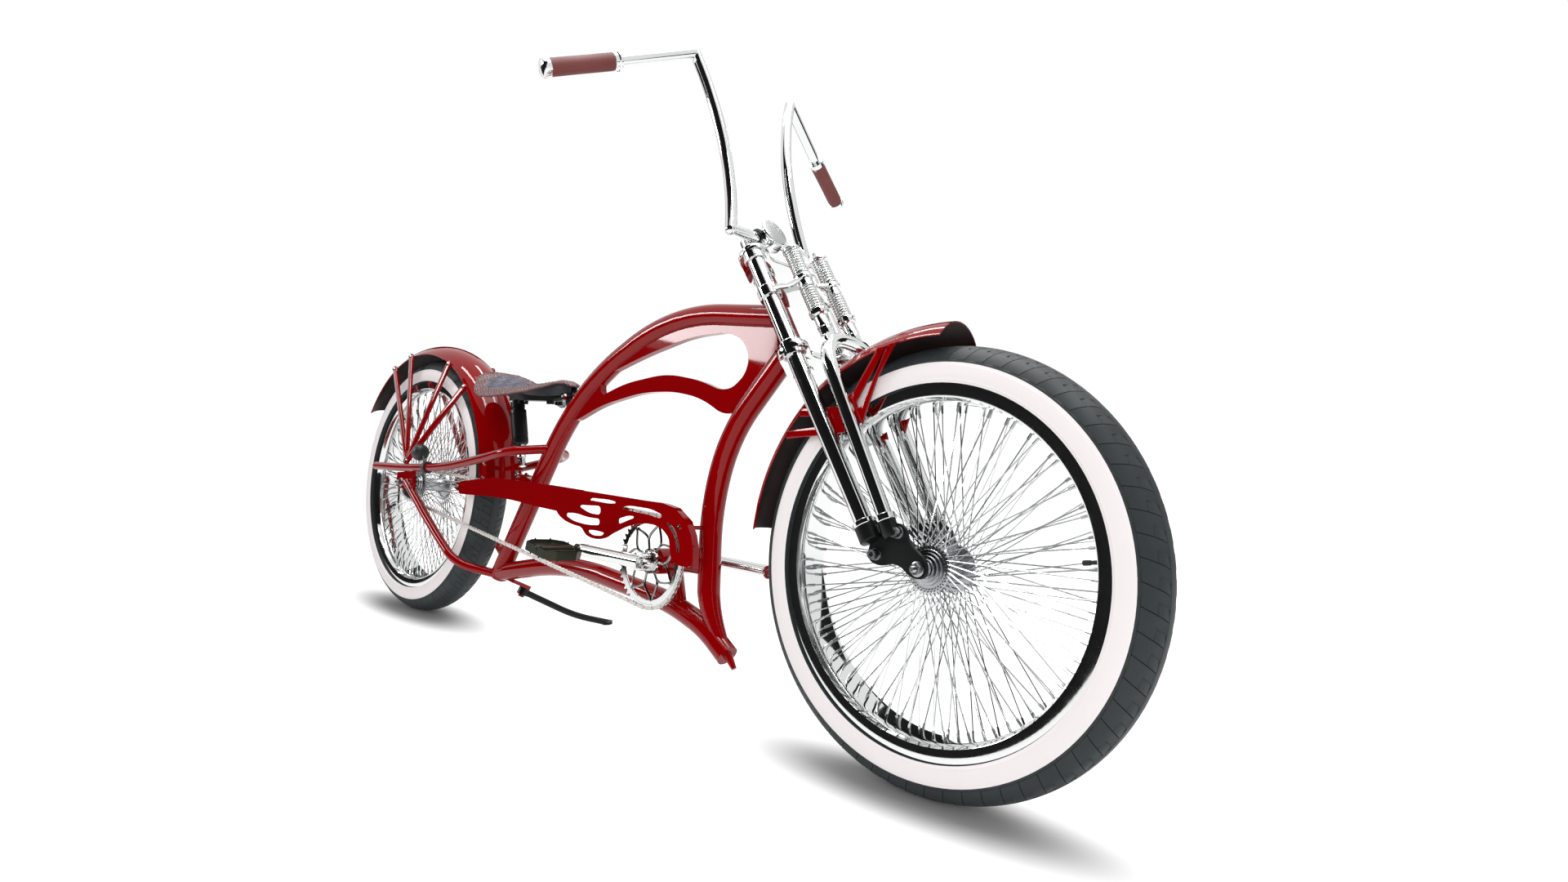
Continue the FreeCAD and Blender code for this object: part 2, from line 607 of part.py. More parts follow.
def shock():
    """Shock absorber under the saddle: black can, thin rod and a bolted foot."""
    top = Vector(402.0, 0, 243.0)
    foot = Vector(461.0, 0, 62.0)
    way = (foot - top).normalize()
    can = rod(top, top + way * 115, 20.0)
    rod_end = foot + way * 18
    pin = rod(top + way * 110, rod_end, 11.0)
    body = join([can, pin])
    return body


def shock_bracket():
    """Bracket on the seat tube that carries the shock's foot."""
    body = plate([(448.0, 60.0), (482.0, 60.0), (560.0, 40.0), (520.0, -20.0), (452.0, 30.0)],
                 12.0)
    body = body.cut(bent_tube(in_plane(ARCH_LINE), TUBE)).cut(shock())
    return max(body.Solids, key=lambda solid: solid.Volume)


def reflector():
    """Round lamp housing on a stem clamped to the right upper stay."""
    y = -(STAY_Y + 4.0)
    clamp = ring(Vector(132.0, -STAY_Y, 50.0), Vector(1.0, 0, 0.08), STAY_RADIUS + 5,
                 STAY_RADIUS, 14.0)
    stem = rod(Vector(128.0, y, 62.0), Vector(104.0, y, 82.0), 5.0)
    head = rod(Vector(112.0, y, 88.0), Vector(84.0, y, 88.0), 22.0)
    return join([clamp, stem, head]).cut(upper_stay_right())


def upper_stay_right():
    """The right upper stay is the left one mirrored."""
    return mirrored(upper_stay())


def ground_z(y):
    """Height of the ground in the upright frame, under a point to the left."""
    lean = math.radians(LEAN)
    return -TYRE_RING + (y * math.sin(lean) - TYRE_SECTION) / math.cos(lean)


def stand_foot():
    """Where the side stand's foot meets the ground."""
    x, y = STAND_FOOT
    return Vector(x, y, ground_z(y))


def stand_axis():
    """Hinge axis of the stand: turns the leg from its parked place to the rear."""
    parked = stand_foot() - Vector(*STAND_PIVOT)
    return parked.cross(Vector(*STAND_FOLDED)).normalize()


def stand_travel():
    """Degrees that the stand turns from its parked place to its folded place."""
    parked = stand_foot() - Vector(*STAND_PIVOT)
    return math.degrees(parked.getAngle(Vector(*STAND_FOLDED)))


def stand_bracket():
    """Lug under the lower tube that carries the side stand on a headed pin."""
    axis = stand_axis()
    pivot = Vector(*STAND_PIVOT)
    base = pivot + axis * PIVOT_GAP
    inward = in_plane_way(axis)
    across = axis.cross(inward)
    half = STAND_KNUCKLE + 1.0
    reach = 48.0
    corners = [base - across * half, base + inward * reach - across * (half + 6),
               base + inward * reach + across * (half + 6), base + across * half]
    web = Part.Face(Part.makePolygon(corners + corners[:1])).extrude(axis * STAND_LUG_THICK)
    disc = Part.makeCylinder(half, STAND_LUG_THICK, base, axis)
    drop = STAND_KNUCKLE_THICK + 2 * PIVOT_GAP
    pin = Part.makeCylinder(STAND_PIN, drop + STAND_LUG_THICK, base - axis * drop, axis)
    head = Part.makeCylinder(STAND_PIN + 4, 5.0, base - axis * (drop + 5.0), axis)
    body = join([web, disc, pin, head]).cut(bent_tube(in_plane(LOWER_LINE), LOWER_TUBE))
    return max(body.Solids, key=lambda solid: solid.Volume)


def in_plane_way(axis):
    """Way across the hinge axis that points from the stand's pivot to the lower tube."""
    toward = Vector(0, -1, 1)
    return (toward - axis * toward.dot(axis)).normalize()


def side_stand():
    """Side stand: a knuckle on the pin, a bent leg and a foot flat on the ground."""
    axis = stand_axis()
    pivot = Vector(*STAND_PIVOT)
    lean = math.radians(LEAN)
    up = Vector(0, -math.sin(lean), math.cos(lean))
    foot = stand_foot()
    pad = Part.makeCylinder(STAND_FOOT_RADIUS, STAND_FOOT_THICK, foot, up)
    knuckle = Part.makeCylinder(STAND_KNUCKLE, STAND_KNUCKLE_THICK, pivot, axis * -1)
    start = pivot - axis * (STAND_KNUCKLE_THICK / 2)
    ankle = foot + up * (STAND_FOOT_THICK / 2)
    knee = start + (ankle - start) * 0.6 - up * 14.0
    leg = bent_tube([start, knee, ankle], STAND_RADIUS)
    body = join([pad, leg, knuckle])
    return body.cut(rod(pivot + axis * 5, pivot - axis * 20, STAND_PIN + PIVOT_GAP))


def steerer():
    """Steerer with the two headset cups that turn with the fork."""
    shaft = Part.makeCylinder(STEERER_RADIUS, 288.0, fork_point(-34.0, 0), DOWN)
    return shaft


def top_clamp():
    """Top plate with the caps of both rear legs."""
    body = []
    for side in SIDES.values():
        body.append(Part.makeCylinder(LEG_RADIUS + 4, 26.0,
                                      fork_point(LEG_START - 12.0, LEG_AHEAD, side * LEG_Y), DOWN))
    body.append(clamp_plate(TOP_PLATE, 8.0))
    bore = Part.makeCylinder(STEERER_RADIUS, 400.0, fork_point(-100.0, 0), DOWN)
    legs = [rear_leg(side) for side in SIDES.values()]
    return join(body).cut(bore).cut(legs[0]).cut(legs[1])


def clamp_plate(s, thick):
    """Flat crown plate that spans the steerer and both rear legs."""
    points = [(-24.0, -24.0), (-24.0, 24.0), (20.0, LEG_Y + 18.0), (LEG_AHEAD + 20.0, LEG_Y + 18.0),
              (LEG_AHEAD + 24.0, LEG_Y - 14.0), (LEG_AHEAD + 4.0, 30.0),
              (LEG_AHEAD + 4.0, -30.0), (LEG_AHEAD + 24.0, -LEG_Y + 14.0),
              (LEG_AHEAD + 20.0, -LEG_Y - 18.0), (20.0, -LEG_Y - 18.0)]
    outline = [fork_point(s, n, y) for n, y in points]
    face = Part.Face(Part.makePolygon(outline + outline[:1]))
    return face.extrude(DOWN * thick)


def rear_leg(side):
    """One straight rear leg of the fork."""
    return rod(fork_point(LEG_START, LEG_AHEAD, side * LEG_Y),
               fork_point(LEG_END, LEG_AHEAD, side * LEG_Y), LEG_RADIUS)


def rear_legs():
    """Both rear legs with the black sockets at their feet."""
    legs = []
    for side in SIDES.values():
        socket = Part.makeCylinder(LEG_RADIUS + 3, 34.0,
                                   fork_point(LEG_END - 8, LEG_AHEAD, side * LEG_Y), DOWN)
        legs.append(join([rear_leg(side), socket]))
    return Part.makeCompound(legs)


def lower_crown():
    """Lower crown that clamps the rear legs and carries the steerer's foot."""
    body = [clamp_plate(LOWER_PLATE, 14.0)]
    for side in SIDES.values():
        body.append(Part.makeCylinder(LEG_RADIUS + 5, 30.0,
                                      fork_point(LOWER_PLATE - 8.0, LEG_AHEAD, side * LEG_Y), DOWN))
    bore = Part.makeCylinder(STEERER_RADIUS, 40.0, fork_point(214.0, 0), DOWN)
    legs = [rear_leg(side) for side in SIDES.values()]
    return join(body).cut(bore).cut(legs[0]).cut(legs[1])


def spring_bracket():
    """Middle bracket: a forged web that clamps on the rear legs and reaches both rods."""
    middle = LUG_START + WEB_DROP
    # columns: n ahead of the steering axis, y; the left half, from the back to the front
    half = [(LEG_AHEAD - 14, 26.0), (LEG_AHEAD - 10, LEG_Y - 4), (LEG_AHEAD + 12, LEG_Y + 6),
            (SPRING_AHEAD - 22, SPRING_Y + 22), (SPRING_AHEAD - 4, SPRING_Y + 10),
            (SPRING_AHEAD + 8, SPRING_Y - 10), (SPRING_AHEAD - 2, 0.0)]
    points = half + [(n, -y) for n, y in reversed(half[:-1])]
    outline = [fork_point(middle - 4.0, n, y) for n, y in points]
    body = [Part.Face(Part.makePolygon(outline + outline[:1])).extrude(DOWN * 8.0)]
    for side in SIDES.values():
        body.append(Part.makeCylinder(LEG_RADIUS + 5, 22.0,
                                      fork_point(middle - 11.0, LEG_AHEAD, side * LEG_Y), DOWN))
        body.append(Part.makeCylinder(LUG_RADIUS, LUG_THICK,
                                      fork_point(LUG_START, SPRING_AHEAD, side * SPRING_Y), DOWN))
        body.append(Part.makeCylinder(LUG_LIP, 8.0,
                                      fork_point(middle - 4.0, SPRING_AHEAD, side * SPRING_Y),
                                      DOWN))
    shape = join(body)
    for side in SIDES.values():
        shape = shape.cut(rear_leg(side))
        shape = shape.cut(rod(fork_point(40.0, SPRING_AHEAD, side * SPRING_Y),
                              fork_point(250.0, SPRING_AHEAD, side * SPRING_Y), SPRING_ROD))
    return shape.cut(head_tube_solid(STEERER_GAP))


def springs():
    """Four springs, above and below the bracket lug on each rod, a ridge for each turn."""
    upper = (62.0, LUG_START - SEAT_GAP, 9)
    lower = (LUG_START + LUG_THICK + SEAT_GAP, SPRING_SEAT - SEAT_GAP, 10)
    solids = []
    for side in SIDES.values():
        for start, end, turns in (upper, lower):
            step = (end - start) / turns
            profile = [(start, SPRING_ROD + SEAT_GAP)]
            for turn in range(turns):
                profile += [(start + turn * step, SPRING_RADIUS - SPRING_WIRE),
                            (start + (turn + 0.5) * step, SPRING_RADIUS)]
            profile += [(end, SPRING_RADIUS - SPRING_WIRE), (end, SPRING_ROD + SEAT_GAP)]
            points = [fork_point(s, SPRING_AHEAD + r, side * SPRING_Y) for s, r in profile]
            face = Part.Face(Part.makePolygon(points + points[:1]))
            solids.append(face.revolve(fork_point(0, SPRING_AHEAD, side * SPRING_Y), DOWN, 360))
    return Part.makeCompound(solids)


def front_fork():
    """Front legs bent from one tube over the wheel, with the spring rods on its crown."""
    # columns: s down the steering axis, n ahead of it, y to the left
    left_leg = [(612.0, FRONT_LEG_AHEAD - 22, FRONT_LEG_Y),
                (430.0, FRONT_LEG_AHEAD - 10, FRONT_LEG_Y),
                (FRONT_CROWN, FRONT_LEG_AHEAD, FRONT_LEG_Y)]
    right_leg = [(s, n, -y) for s, n, y in reversed(left_leg)]
    hoop = bent_tube([fork_point(*point) for point in left_leg + right_leg], FRONT_LEG_RADIUS, 0.45)
    body = [hoop]
    for side in SIDES.values():
        rod_top = fork_point(46.0, SPRING_AHEAD, side * SPRING_Y)
        rod_foot = fork_point(FRONT_CROWN - 40, SPRING_AHEAD, side * SPRING_Y)
        post_top = fork_point(SPRING_SEAT, SPRING_AHEAD, side * SPRING_Y)
        body.append(rod(rod_top, rod_foot, SPRING_ROD))
        body.append(Part.makeCylinder(11.0, 10.0, rod_top, DOWN))
        body.append(Part.makeCylinder(12.0, FRONT_CROWN + 4 - SPRING_SEAT, post_top, DOWN))
    return join(body)


def rocker():
    """Left rocker plate between both legs' feet and the front axle."""
    # columns: x from the front axle, z
    rear_pivot = (-80.0, 12.0)
    front_pivot = (-42.0, 51.0)
    outline = [(-96.0, 2.0), (-94.0, 30.0), (-54.0, 66.0), (-32.0, 64.0), (-20.0, 36.0),
               (14.0, 14.0), (16.0, -14.0), (-10.0, -16.0), (-38.0, 4.0), (-72.0, -6.0)]
    body = rounded_plate([(WHEELBASE + x, z) for x, z in outline], ROCKER_HALF, ROCKER_Y)
    bolts = []
    for x, z in (rear_pivot, front_pivot):
        bolts.append(rod(Vector(WHEELBASE + x, ROCKER_Y - 8, z),
                         Vector(WHEELBASE + x, ROCKER_Y + 16, z), 6.0))
    hole = rod(Vector(WHEELBASE, 0, 0), Vector(WHEELBASE, 2 * ROCKER_Y, 0), AXLE_RADIUS)
    return join([body] + bolts).cut(hole).cut(front_fork()).cut(rear_legs())


def front_struts():
    """Left stamped bracket from the fork leg to the front fender's edge."""
    edge_top = fender_point(FRONT_AXLE, 112.0, FRONT_FENDER_HALF + 2, FENDER_EDGE + 4)
    edge_low = fender_point(FRONT_AXLE, 136.0, FRONT_FENDER_HALF + 2, FENDER_EDGE + 4)
    leg = fork_point(480.0, FRONT_LEG_AHEAD - 18, FRONT_LEG_Y - 10)
    body = join([rod(edge_top, leg, 4.0), rod(edge_low, leg, 4.0)])
    sheet = fender(FRONT_AXLE, FRONT_FENDER_HALF, 177.0, 91.0)
    return body.cut(front_fork()).cut(rear_legs()).cut(sheet)


def stem():
    """Stem: post on the steerer and a barrel that grips the bar, with a flat round face."""
    s = STEM_LINE
    post = Part.makeCylinder(STEERER_RADIUS + 4, 34.0, fork_point(s - 30.0, 0), DOWN)
    barrel = rod(fork_point(s, -STEERER_RADIUS - 8.0), fork_point(s, STEM_FACE), STEM_RADIUS)
    face = rod(fork_point(s, STEM_FACE), fork_point(s, STEM_FACE + 4), STEM_RADIUS + 3)
    clamp = Vector(*BAR_POINTS[0])
    collar = Part.makeCylinder(BAR_RADIUS + 6, 2 * STEM_RADIUS + 18,
                               clamp - Y_AXIS * (STEM_RADIUS + 9), Y_AXIS)
    body = join([post, barrel, face, collar])
    for piece in (handlebar(), steerer(), top_clamp()):
        body = body.cut(piece)
    return max(body.Solids, key=lambda solid: solid.Volume)


def arc_rod(start, middle, end, radius):
    """Round bar bowed on one arc through three points."""
    arc = Part.Arc(start, middle, end)
    circle = Part.Wire(Part.makeCircle(radius, start, arc.tangent(arc.FirstParameter)[0]))
    return Part.Wire(arc.toShape()).makePipe(Part.Face(circle))


def handlebar():
    """Tall chrome bar with mitred corners and arms that bow inwards, end to end."""
    points = [Vector(*point) for point in BAR_POINTS]
    bow = (points[1] + points[2]) / 2 - Y_AXIS * BAR_BOW
    arm = [rod(points[0], points[1], BAR_RADIUS),
           arc_rod(points[1], bow, points[2], BAR_RADIUS),
           rod(points[2], points[3], BAR_RADIUS), rod(points[3], points[4], BAR_RADIUS)]
    arm += [Part.makeSphere(BAR_RADIUS, corner) for corner in points[1:3]]
    half = join(arm)
    return join([half, mirrored(half)])


def grip():
    """Left hand grip with a collar at each end."""
    inner, outer = Vector(*BAR_POINTS[3]), Vector(*BAR_POINTS[4])
    way = (outer - inner).normalize()
    body = rod(inner, outer + way * 6, GRIP_RADIUS)
    return body.cut(rod(inner - way * 4, outer, BAR_RADIUS))


def crankset():
    """Crank axle with both arms, the right one to the rear.

    Each arm is a thick tube that runs past the axle, open there, outboard of its clamp boss.
    """
    shaft = rod(CRANK_CENTRE - Y_AXIS * CRANK_Y, CRANK_CENTRE + Y_AXIS * CRANK_Y, CRANK_AXLE)
    body = [shaft]
    for side in SIDES.values():
        base = CRANK_CENTRE + Y_AXIS * (side * CRANK_Y)
        tip = base + Vector(side * CRANK_LENGTH, 0, 0)
        boss = CRANK_CENTRE + Y_AXIS * (side * (CRANK_Y - CRANK_BOSS_IN))
        body.append(rod(boss - Y_AXIS * CRANK_BOSS_HALF, boss + Y_AXIS * CRANK_BOSS_HALF,
                        CRANK_BOSS))
        body.append(rod(base - Vector(side * CRANK_PAST, 0, 0), tip, CRANK_TUBE))
        body.append(Part.makeCylinder(CRANK_TUBE, 26.0, tip - Y_AXIS * 13, Y_AXIS))
    shape = join(body)
    for side in SIDES.values():
        base = CRANK_CENTRE + Y_AXIS * (side * CRANK_Y)
        tip = base + Vector(side * CRANK_LENGTH, 0, 0)
        end = base - Vector(side * CRANK_PAST, 0, 0)
        shape = shape.cut(rod(end - Vector(side, 0, 0), end + Vector(side * 12.0, 0, 0),
                              CRANK_TUBE - CRANK_WALL))
        shape = shape.cut(rod(tip - Y_AXIS * 20, tip + Y_AXIS * 20, PEDAL_PIN + 0.4))
    return shape


def chainring():
    """Chainring inside the chain, its arms forked like lace between hub and rim."""
    pitch_r = CHAIN_PITCH / (2 * math.sin(math.pi / RING_TEETH))
    tip = pitch_r - CHAIN_HALF_HEIGHT - CHAIN_GAP
    inner = tip - RING_RIM
    centre = Vector(CRANK_X, -RING_Y, CRANK_Z)
    body = [ring(centre, Y_AXIS, tip, inner, RING_THICK),
            ring(centre, Y_AXIS, CRANK_BOSS + 4.0, CRANK_AXLE, RING_THICK)]
    fork = 0.62 * inner
    for index in range(RING_ARMS):
        angle = 2 * math.pi * index / RING_ARMS

        def spot(radius, turn=0.0):
            return centre + Vector(math.cos(angle + turn), 0, math.sin(angle + turn)) * radius

        body.append(rod(spot(CRANK_BOSS), spot(fork), RING_THICK / 2))
        for side in (-1, 1):
            body.append(rod(spot(fork), spot(inner + 2.0, side * RING_FORK), RING_THICK / 2))
    return join(body)


def sprocket():
    """Rear sprocket with tips just inside the chain."""
    pitch_r = CHAIN_PITCH / (2 * math.sin(math.pi / SPROCKET_TEETH))
    tip = pitch_r - CHAIN_HALF_HEIGHT - CHAIN_GAP
    carrier = ring(Vector(0, -(HUB_HALF + RING_Y) / 2, 0), Y_AXIS, 20.0,
                   AXLE_RADIUS + AXLE_GAP, RING_Y - HUB_HALF)
    disc = ring(Vector(0, -RING_Y, 0), Y_AXIS, tip, AXLE_RADIUS + AXLE_GAP, RING_THICK)
    return join([carrier, disc])


def pedal(side):
    """Platform pedal: open frame round a spindle barrel."""
    centre = CRANK_CENTRE + Vector(side * CRANK_LENGTH, side * PEDAL_Y, 0)
    outer = Part.makeBox(2 * PEDAL_HALF_LENGTH, 2 * PEDAL_HALF_WIDTH, 2 * PEDAL_HALF_THICK,
                         centre - Vector(PEDAL_HALF_LENGTH, PEDAL_HALF_WIDTH, PEDAL_HALF_THICK))
    rail = 9.0
    for way in (-1, 1):
        x_low = centre.x + (12.0 if way > 0 else -PEDAL_HALF_LENGTH + rail)
        x_len = PEDAL_HALF_LENGTH - rail - 12.0
        gap = Part.makeBox(x_len, 2 * (PEDAL_HALF_WIDTH - rail), 2 * PEDAL_HALF_THICK + 2,
                           Vector(x_low, centre.y - PEDAL_HALF_WIDTH + rail,
                                  centre.z - PEDAL_HALF_THICK - 1))
        outer = outer.cut(gap)
    pin = rod(Vector(centre.x, side * (CRANK_Y - 12), centre.z), centre, PEDAL_PIN)
    return join([outer, pin])


def head_cups():
    """Headset cups pressed into both ends of the head tube."""
    cups = []
    for s in (HEAD_TUBE_START - 4.0, HEAD_TUBE_END + 4.0):
        cups.append(ring(fork_point(s, 0), DOWN, HEAD_TUBE_RADIUS + 3, STEERER_RADIUS + STEERER_GAP,
                         7.6))
    return Part.makeCompound(cups)


def build():
    """All pieces by name, in the upright frame."""
    origin = Vector(0, 0, 0)
    pieces = {
        "head_tube": head_tube(),
        "headset_cups": head_cups(),
        "arch_tube": arch_tube(),
        "web_plate": web_plate(),
        "down_tube": down_tube(),
        "lower_tube": lower_tube(),
        "bottom_bracket": bottom_bracket(),
        "upper_stays": both_sides(upper_stay()),
        "lower_stays": both_sides(lower_stay()),
        "dropouts": both_sides(dropout()),
        "rear_axle": axle(origin, STAY_Y + DROPOUT_THICK / 2),
        "rear_fender": fender(origin, REAR_FENDER_HALF, 149.0, 2.0),
        "rear_fender_struts": both_sides(rear_struts()),
        "chain": chain_loop(),
        "chain_guard": chain_guard(),
        "saddle": saddle(),
        "saddle_frame": saddle_frame(),
        "shock": shock(),
        "shock_bracket": shock_bracket(),
        "reflector": reflector(),
        "stand_bracket": stand_bracket(),
        "steerer": steerer(),
        "top_clamp": top_clamp(),
        "spring_bracket": spring_bracket(),
        "lower_crown": lower_crown(),
        "rear_legs": rear_legs(),
        "front_fork": front_fork(),
        "springs": springs(),
        "rockers": both_sides(rocker()),
        "front_axle": axle(FRONT_AXLE, ROCKER_Y + ROCKER_HALF),
        "front_fender": fender(FRONT_AXLE, FRONT_FENDER_HALF, 177.0, 91.0),
        "front_fender_struts": both_sides(front_struts()),
        "stem": stem(),
        "handlebar": handlebar(),
        "grip_left": grip(),
        "grip_right": mirrored(grip()),
        "front_tyre": tyre(FRONT_AXLE),
        "front_rim": rim(FRONT_AXLE),
        "front_spokes": spokes(FRONT_AXLE),
        "front_hub": hub(FRONT_AXLE),
        "rear_tyre": tyre(origin),
        "rear_rim": rim(origin),
        "rear_spokes": spokes(origin),
        "rear_hub": join([hub(origin), sprocket()]),
        "crankset": crankset(),
        "chainring": chainring(),
        "pedal_left": pedal(LEFT),
        "pedal_right": pedal(RIGHT),
        "side_stand": side_stand(),
    }
    return pieces


def parked_placement():
    """Lean over onto the stand, then down to the ground and to the middle."""
    lean = FreeCAD.Placement(Vector(0, 0, TYRE_RING + TYRE_SECTION),
                             FreeCAD.Rotation(Vector(1, 0, 0), -LEAN),
                             Vector(0, 0, -TYRE_RING))
    edge = Vector(*BAR_POINTS[4])
    way = (edge - Vector(*BAR_POINTS[3])).normalize()
    tip = lean.multVec(edge + way * 6)
    tip_right = lean.multVec(Vector(edge.x + way.x * 6, -edge.y - way.y * 6, edge.z + way.z * 6))
    middle = Vector(-WHEELBASE / 2, -(tip.y + tip_right.y) / 2, 0)
    return FreeCAD.Placement(middle, FreeCAD.Rotation()).multiply(lean)


def main():
    os.makedirs("parts", exist_ok=True)
    parked = parked_placement()
    for name, shape in build().items():
        shape.Placement = parked.multiply(shape.Placement)
        shape.exportStep(os.path.join("parts", name + ".step"))


if __name__ == "__main__":
    main()
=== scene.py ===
import json
import logging
import math
from dataclasses import dataclass
from enum import Enum
from typing import Any, Callable, Iterable, Sequence

import bmesh
import bpy
from mathutils import Matrix, Vector
from mathutils.bvhtree import BVHTree


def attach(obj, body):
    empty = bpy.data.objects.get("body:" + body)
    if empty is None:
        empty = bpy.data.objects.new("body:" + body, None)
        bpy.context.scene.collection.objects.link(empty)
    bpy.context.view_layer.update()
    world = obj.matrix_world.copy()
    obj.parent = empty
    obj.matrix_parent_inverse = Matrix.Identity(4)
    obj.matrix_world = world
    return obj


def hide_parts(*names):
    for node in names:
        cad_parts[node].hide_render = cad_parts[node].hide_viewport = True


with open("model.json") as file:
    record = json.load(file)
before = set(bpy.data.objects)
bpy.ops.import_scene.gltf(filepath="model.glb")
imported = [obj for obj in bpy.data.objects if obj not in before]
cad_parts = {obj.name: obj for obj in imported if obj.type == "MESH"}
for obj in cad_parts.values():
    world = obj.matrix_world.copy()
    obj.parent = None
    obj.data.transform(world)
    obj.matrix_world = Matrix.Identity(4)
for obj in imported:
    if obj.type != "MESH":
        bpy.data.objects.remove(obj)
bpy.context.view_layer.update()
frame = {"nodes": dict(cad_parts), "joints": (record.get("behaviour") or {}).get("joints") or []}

log = logging.getLogger("chopper")

# Sizes are millimetres in the upright bicycle's own frame: origin at the rear hub,
# X forward, Y to the rider's left, Z up. place_piece() leans them over and makes metres.
WHEELBASE = 1688.0
TYRE_SECTION = 50.0
TYRE_RING = 304.0
HEAD_ANGLE = math.radians(56.3)
HEAD_TOP = Vector((1218.0, 0.0, 525.0))
CRANK_CENTRE = Vector((1060.0, 0.0, -74.0))
CHAIN_PITCH = 12.7
RING_Y = 66.0
PHOTO_CAMERA = Vector((2430.0, -1224.0, 125.0))

LEFT = Vector((0.0, 1.0, 0.0))
DOWN = Vector((math.cos(HEAD_ANGLE), 0.0, -math.sin(HEAD_ANGLE)))
AHEAD = Vector((math.sin(HEAD_ANGLE), 0.0, math.cos(HEAD_ANGLE)))
FRONT_HUB = Vector((WHEELBASE, 0.0, 0.0))
REAR_HUB = Vector((0.0, 0.0, 0.0))
SIDES = (1.0, -1.0)
UP = Vector((0.0, 0.0, 1.0))
MILLIMETRE = 0.001
METRE = 1000.0
WELD = 0.002
BEVEL_STEPS = 2
# radians between the faces of an edge that a prism breaks
PRISM_CORNER = 0.6
COAT_ROUGHNESS = 0.03
LEAST_ROUGHNESS = 0.02
# bands in one unit of a wave texture whose scale is one
WAVE_BANDS = 6.4


def parked_matrix() -> Matrix:
    """Turns upright millimetres into the leaning row frame in metres.

    Returns:
        The placement, read from the rear wheel's joint.
    """
    hinge = next(joint for joint in frame["joints"] if joint["name"] == "rear_wheel_spin")
    left = Vector(hinge["axis"]).normalized()
    forward = Vector((1.0, 0.0, 0.0))
    turn = Matrix((forward, left, forward.cross(left))).transposed().to_4x4()
    return Matrix.Translation(Vector(hinge["pos_m"])) @ turn @ Matrix.Scale(MILLIMETRE, 4)


PARKED = parked_matrix()
UPRIGHT = PARKED.inverted()


def fork_point(s: float, n: float, y: float = 0.0) -> Vector:
    """Point of the fork: s down the steering axis, n ahead of it, y to the left."""
    return HEAD_TOP + DOWN * s + AHEAD * n + LEFT * y


def round_axle(radius: float, angle: float, y: float = 0.0) -> Vector:
    """Offset from an axle: how far out, its turn from straight ahead, and y to the left."""
    return Vector((radius * math.cos(angle), y, radius * math.sin(angle)))


def round_set(reach: float, bearing: float, height: float) -> Vector:
    """Point of the studio in metres: how far from its middle, its bearing and its height."""
    return Vector((reach * math.cos(bearing), reach * math.sin(bearing), height))


def mirrored(half: Sequence[tuple[float, float]]) -> list[tuple[float, float]]:
    """A whole outline from its left half, whose two ends lie on the middle line."""
    return [*half, *((along, -out) for along, out in reversed(half[1:-1]))]


def linear(colour: str) -> tuple[float, float, float, float]:
    """Turns an sRGB hex colour into linear light.

    Args:
        colour: six hex digits, such as "8b0a0f".

    Returns:
        Red, green, blue and an alpha of one.
    """
    parts = [int(colour[i:i + 2], 16) / 255 for i in (0, 2, 4)]
    light = [c / 12.92 if c <= 0.04045 else ((c + 0.055) / 1.055) ** 2.4 for c in parts]
    return light[0], light[1], light[2], 1.0


def add_node(tree: bpy.types.NodeTree, kind: str, settings: dict[str | int, Any] | None = None,
             links: dict[str | int, Any] | None = None) -> bpy.types.Node:
    """Adds a node, sets it up and links its inputs.

    Args:
        tree: the node tree.
        kind: the node's type name.
        settings: attributes of the node, or values of its input sockets by name.
        links: input socket name or index to the output socket that feeds it.

    Returns:
        The new node.
    """
    node = tree.nodes.new(kind)
    for key, value in (settings or {}).items():
        if isinstance(key, str) and hasattr(node, key):
            setattr(node, key, value)
        else:
            node.inputs[key].default_value = value
    for key, source in (links or {}).items():
        tree.links.new(source, node.inputs[key])
    return node


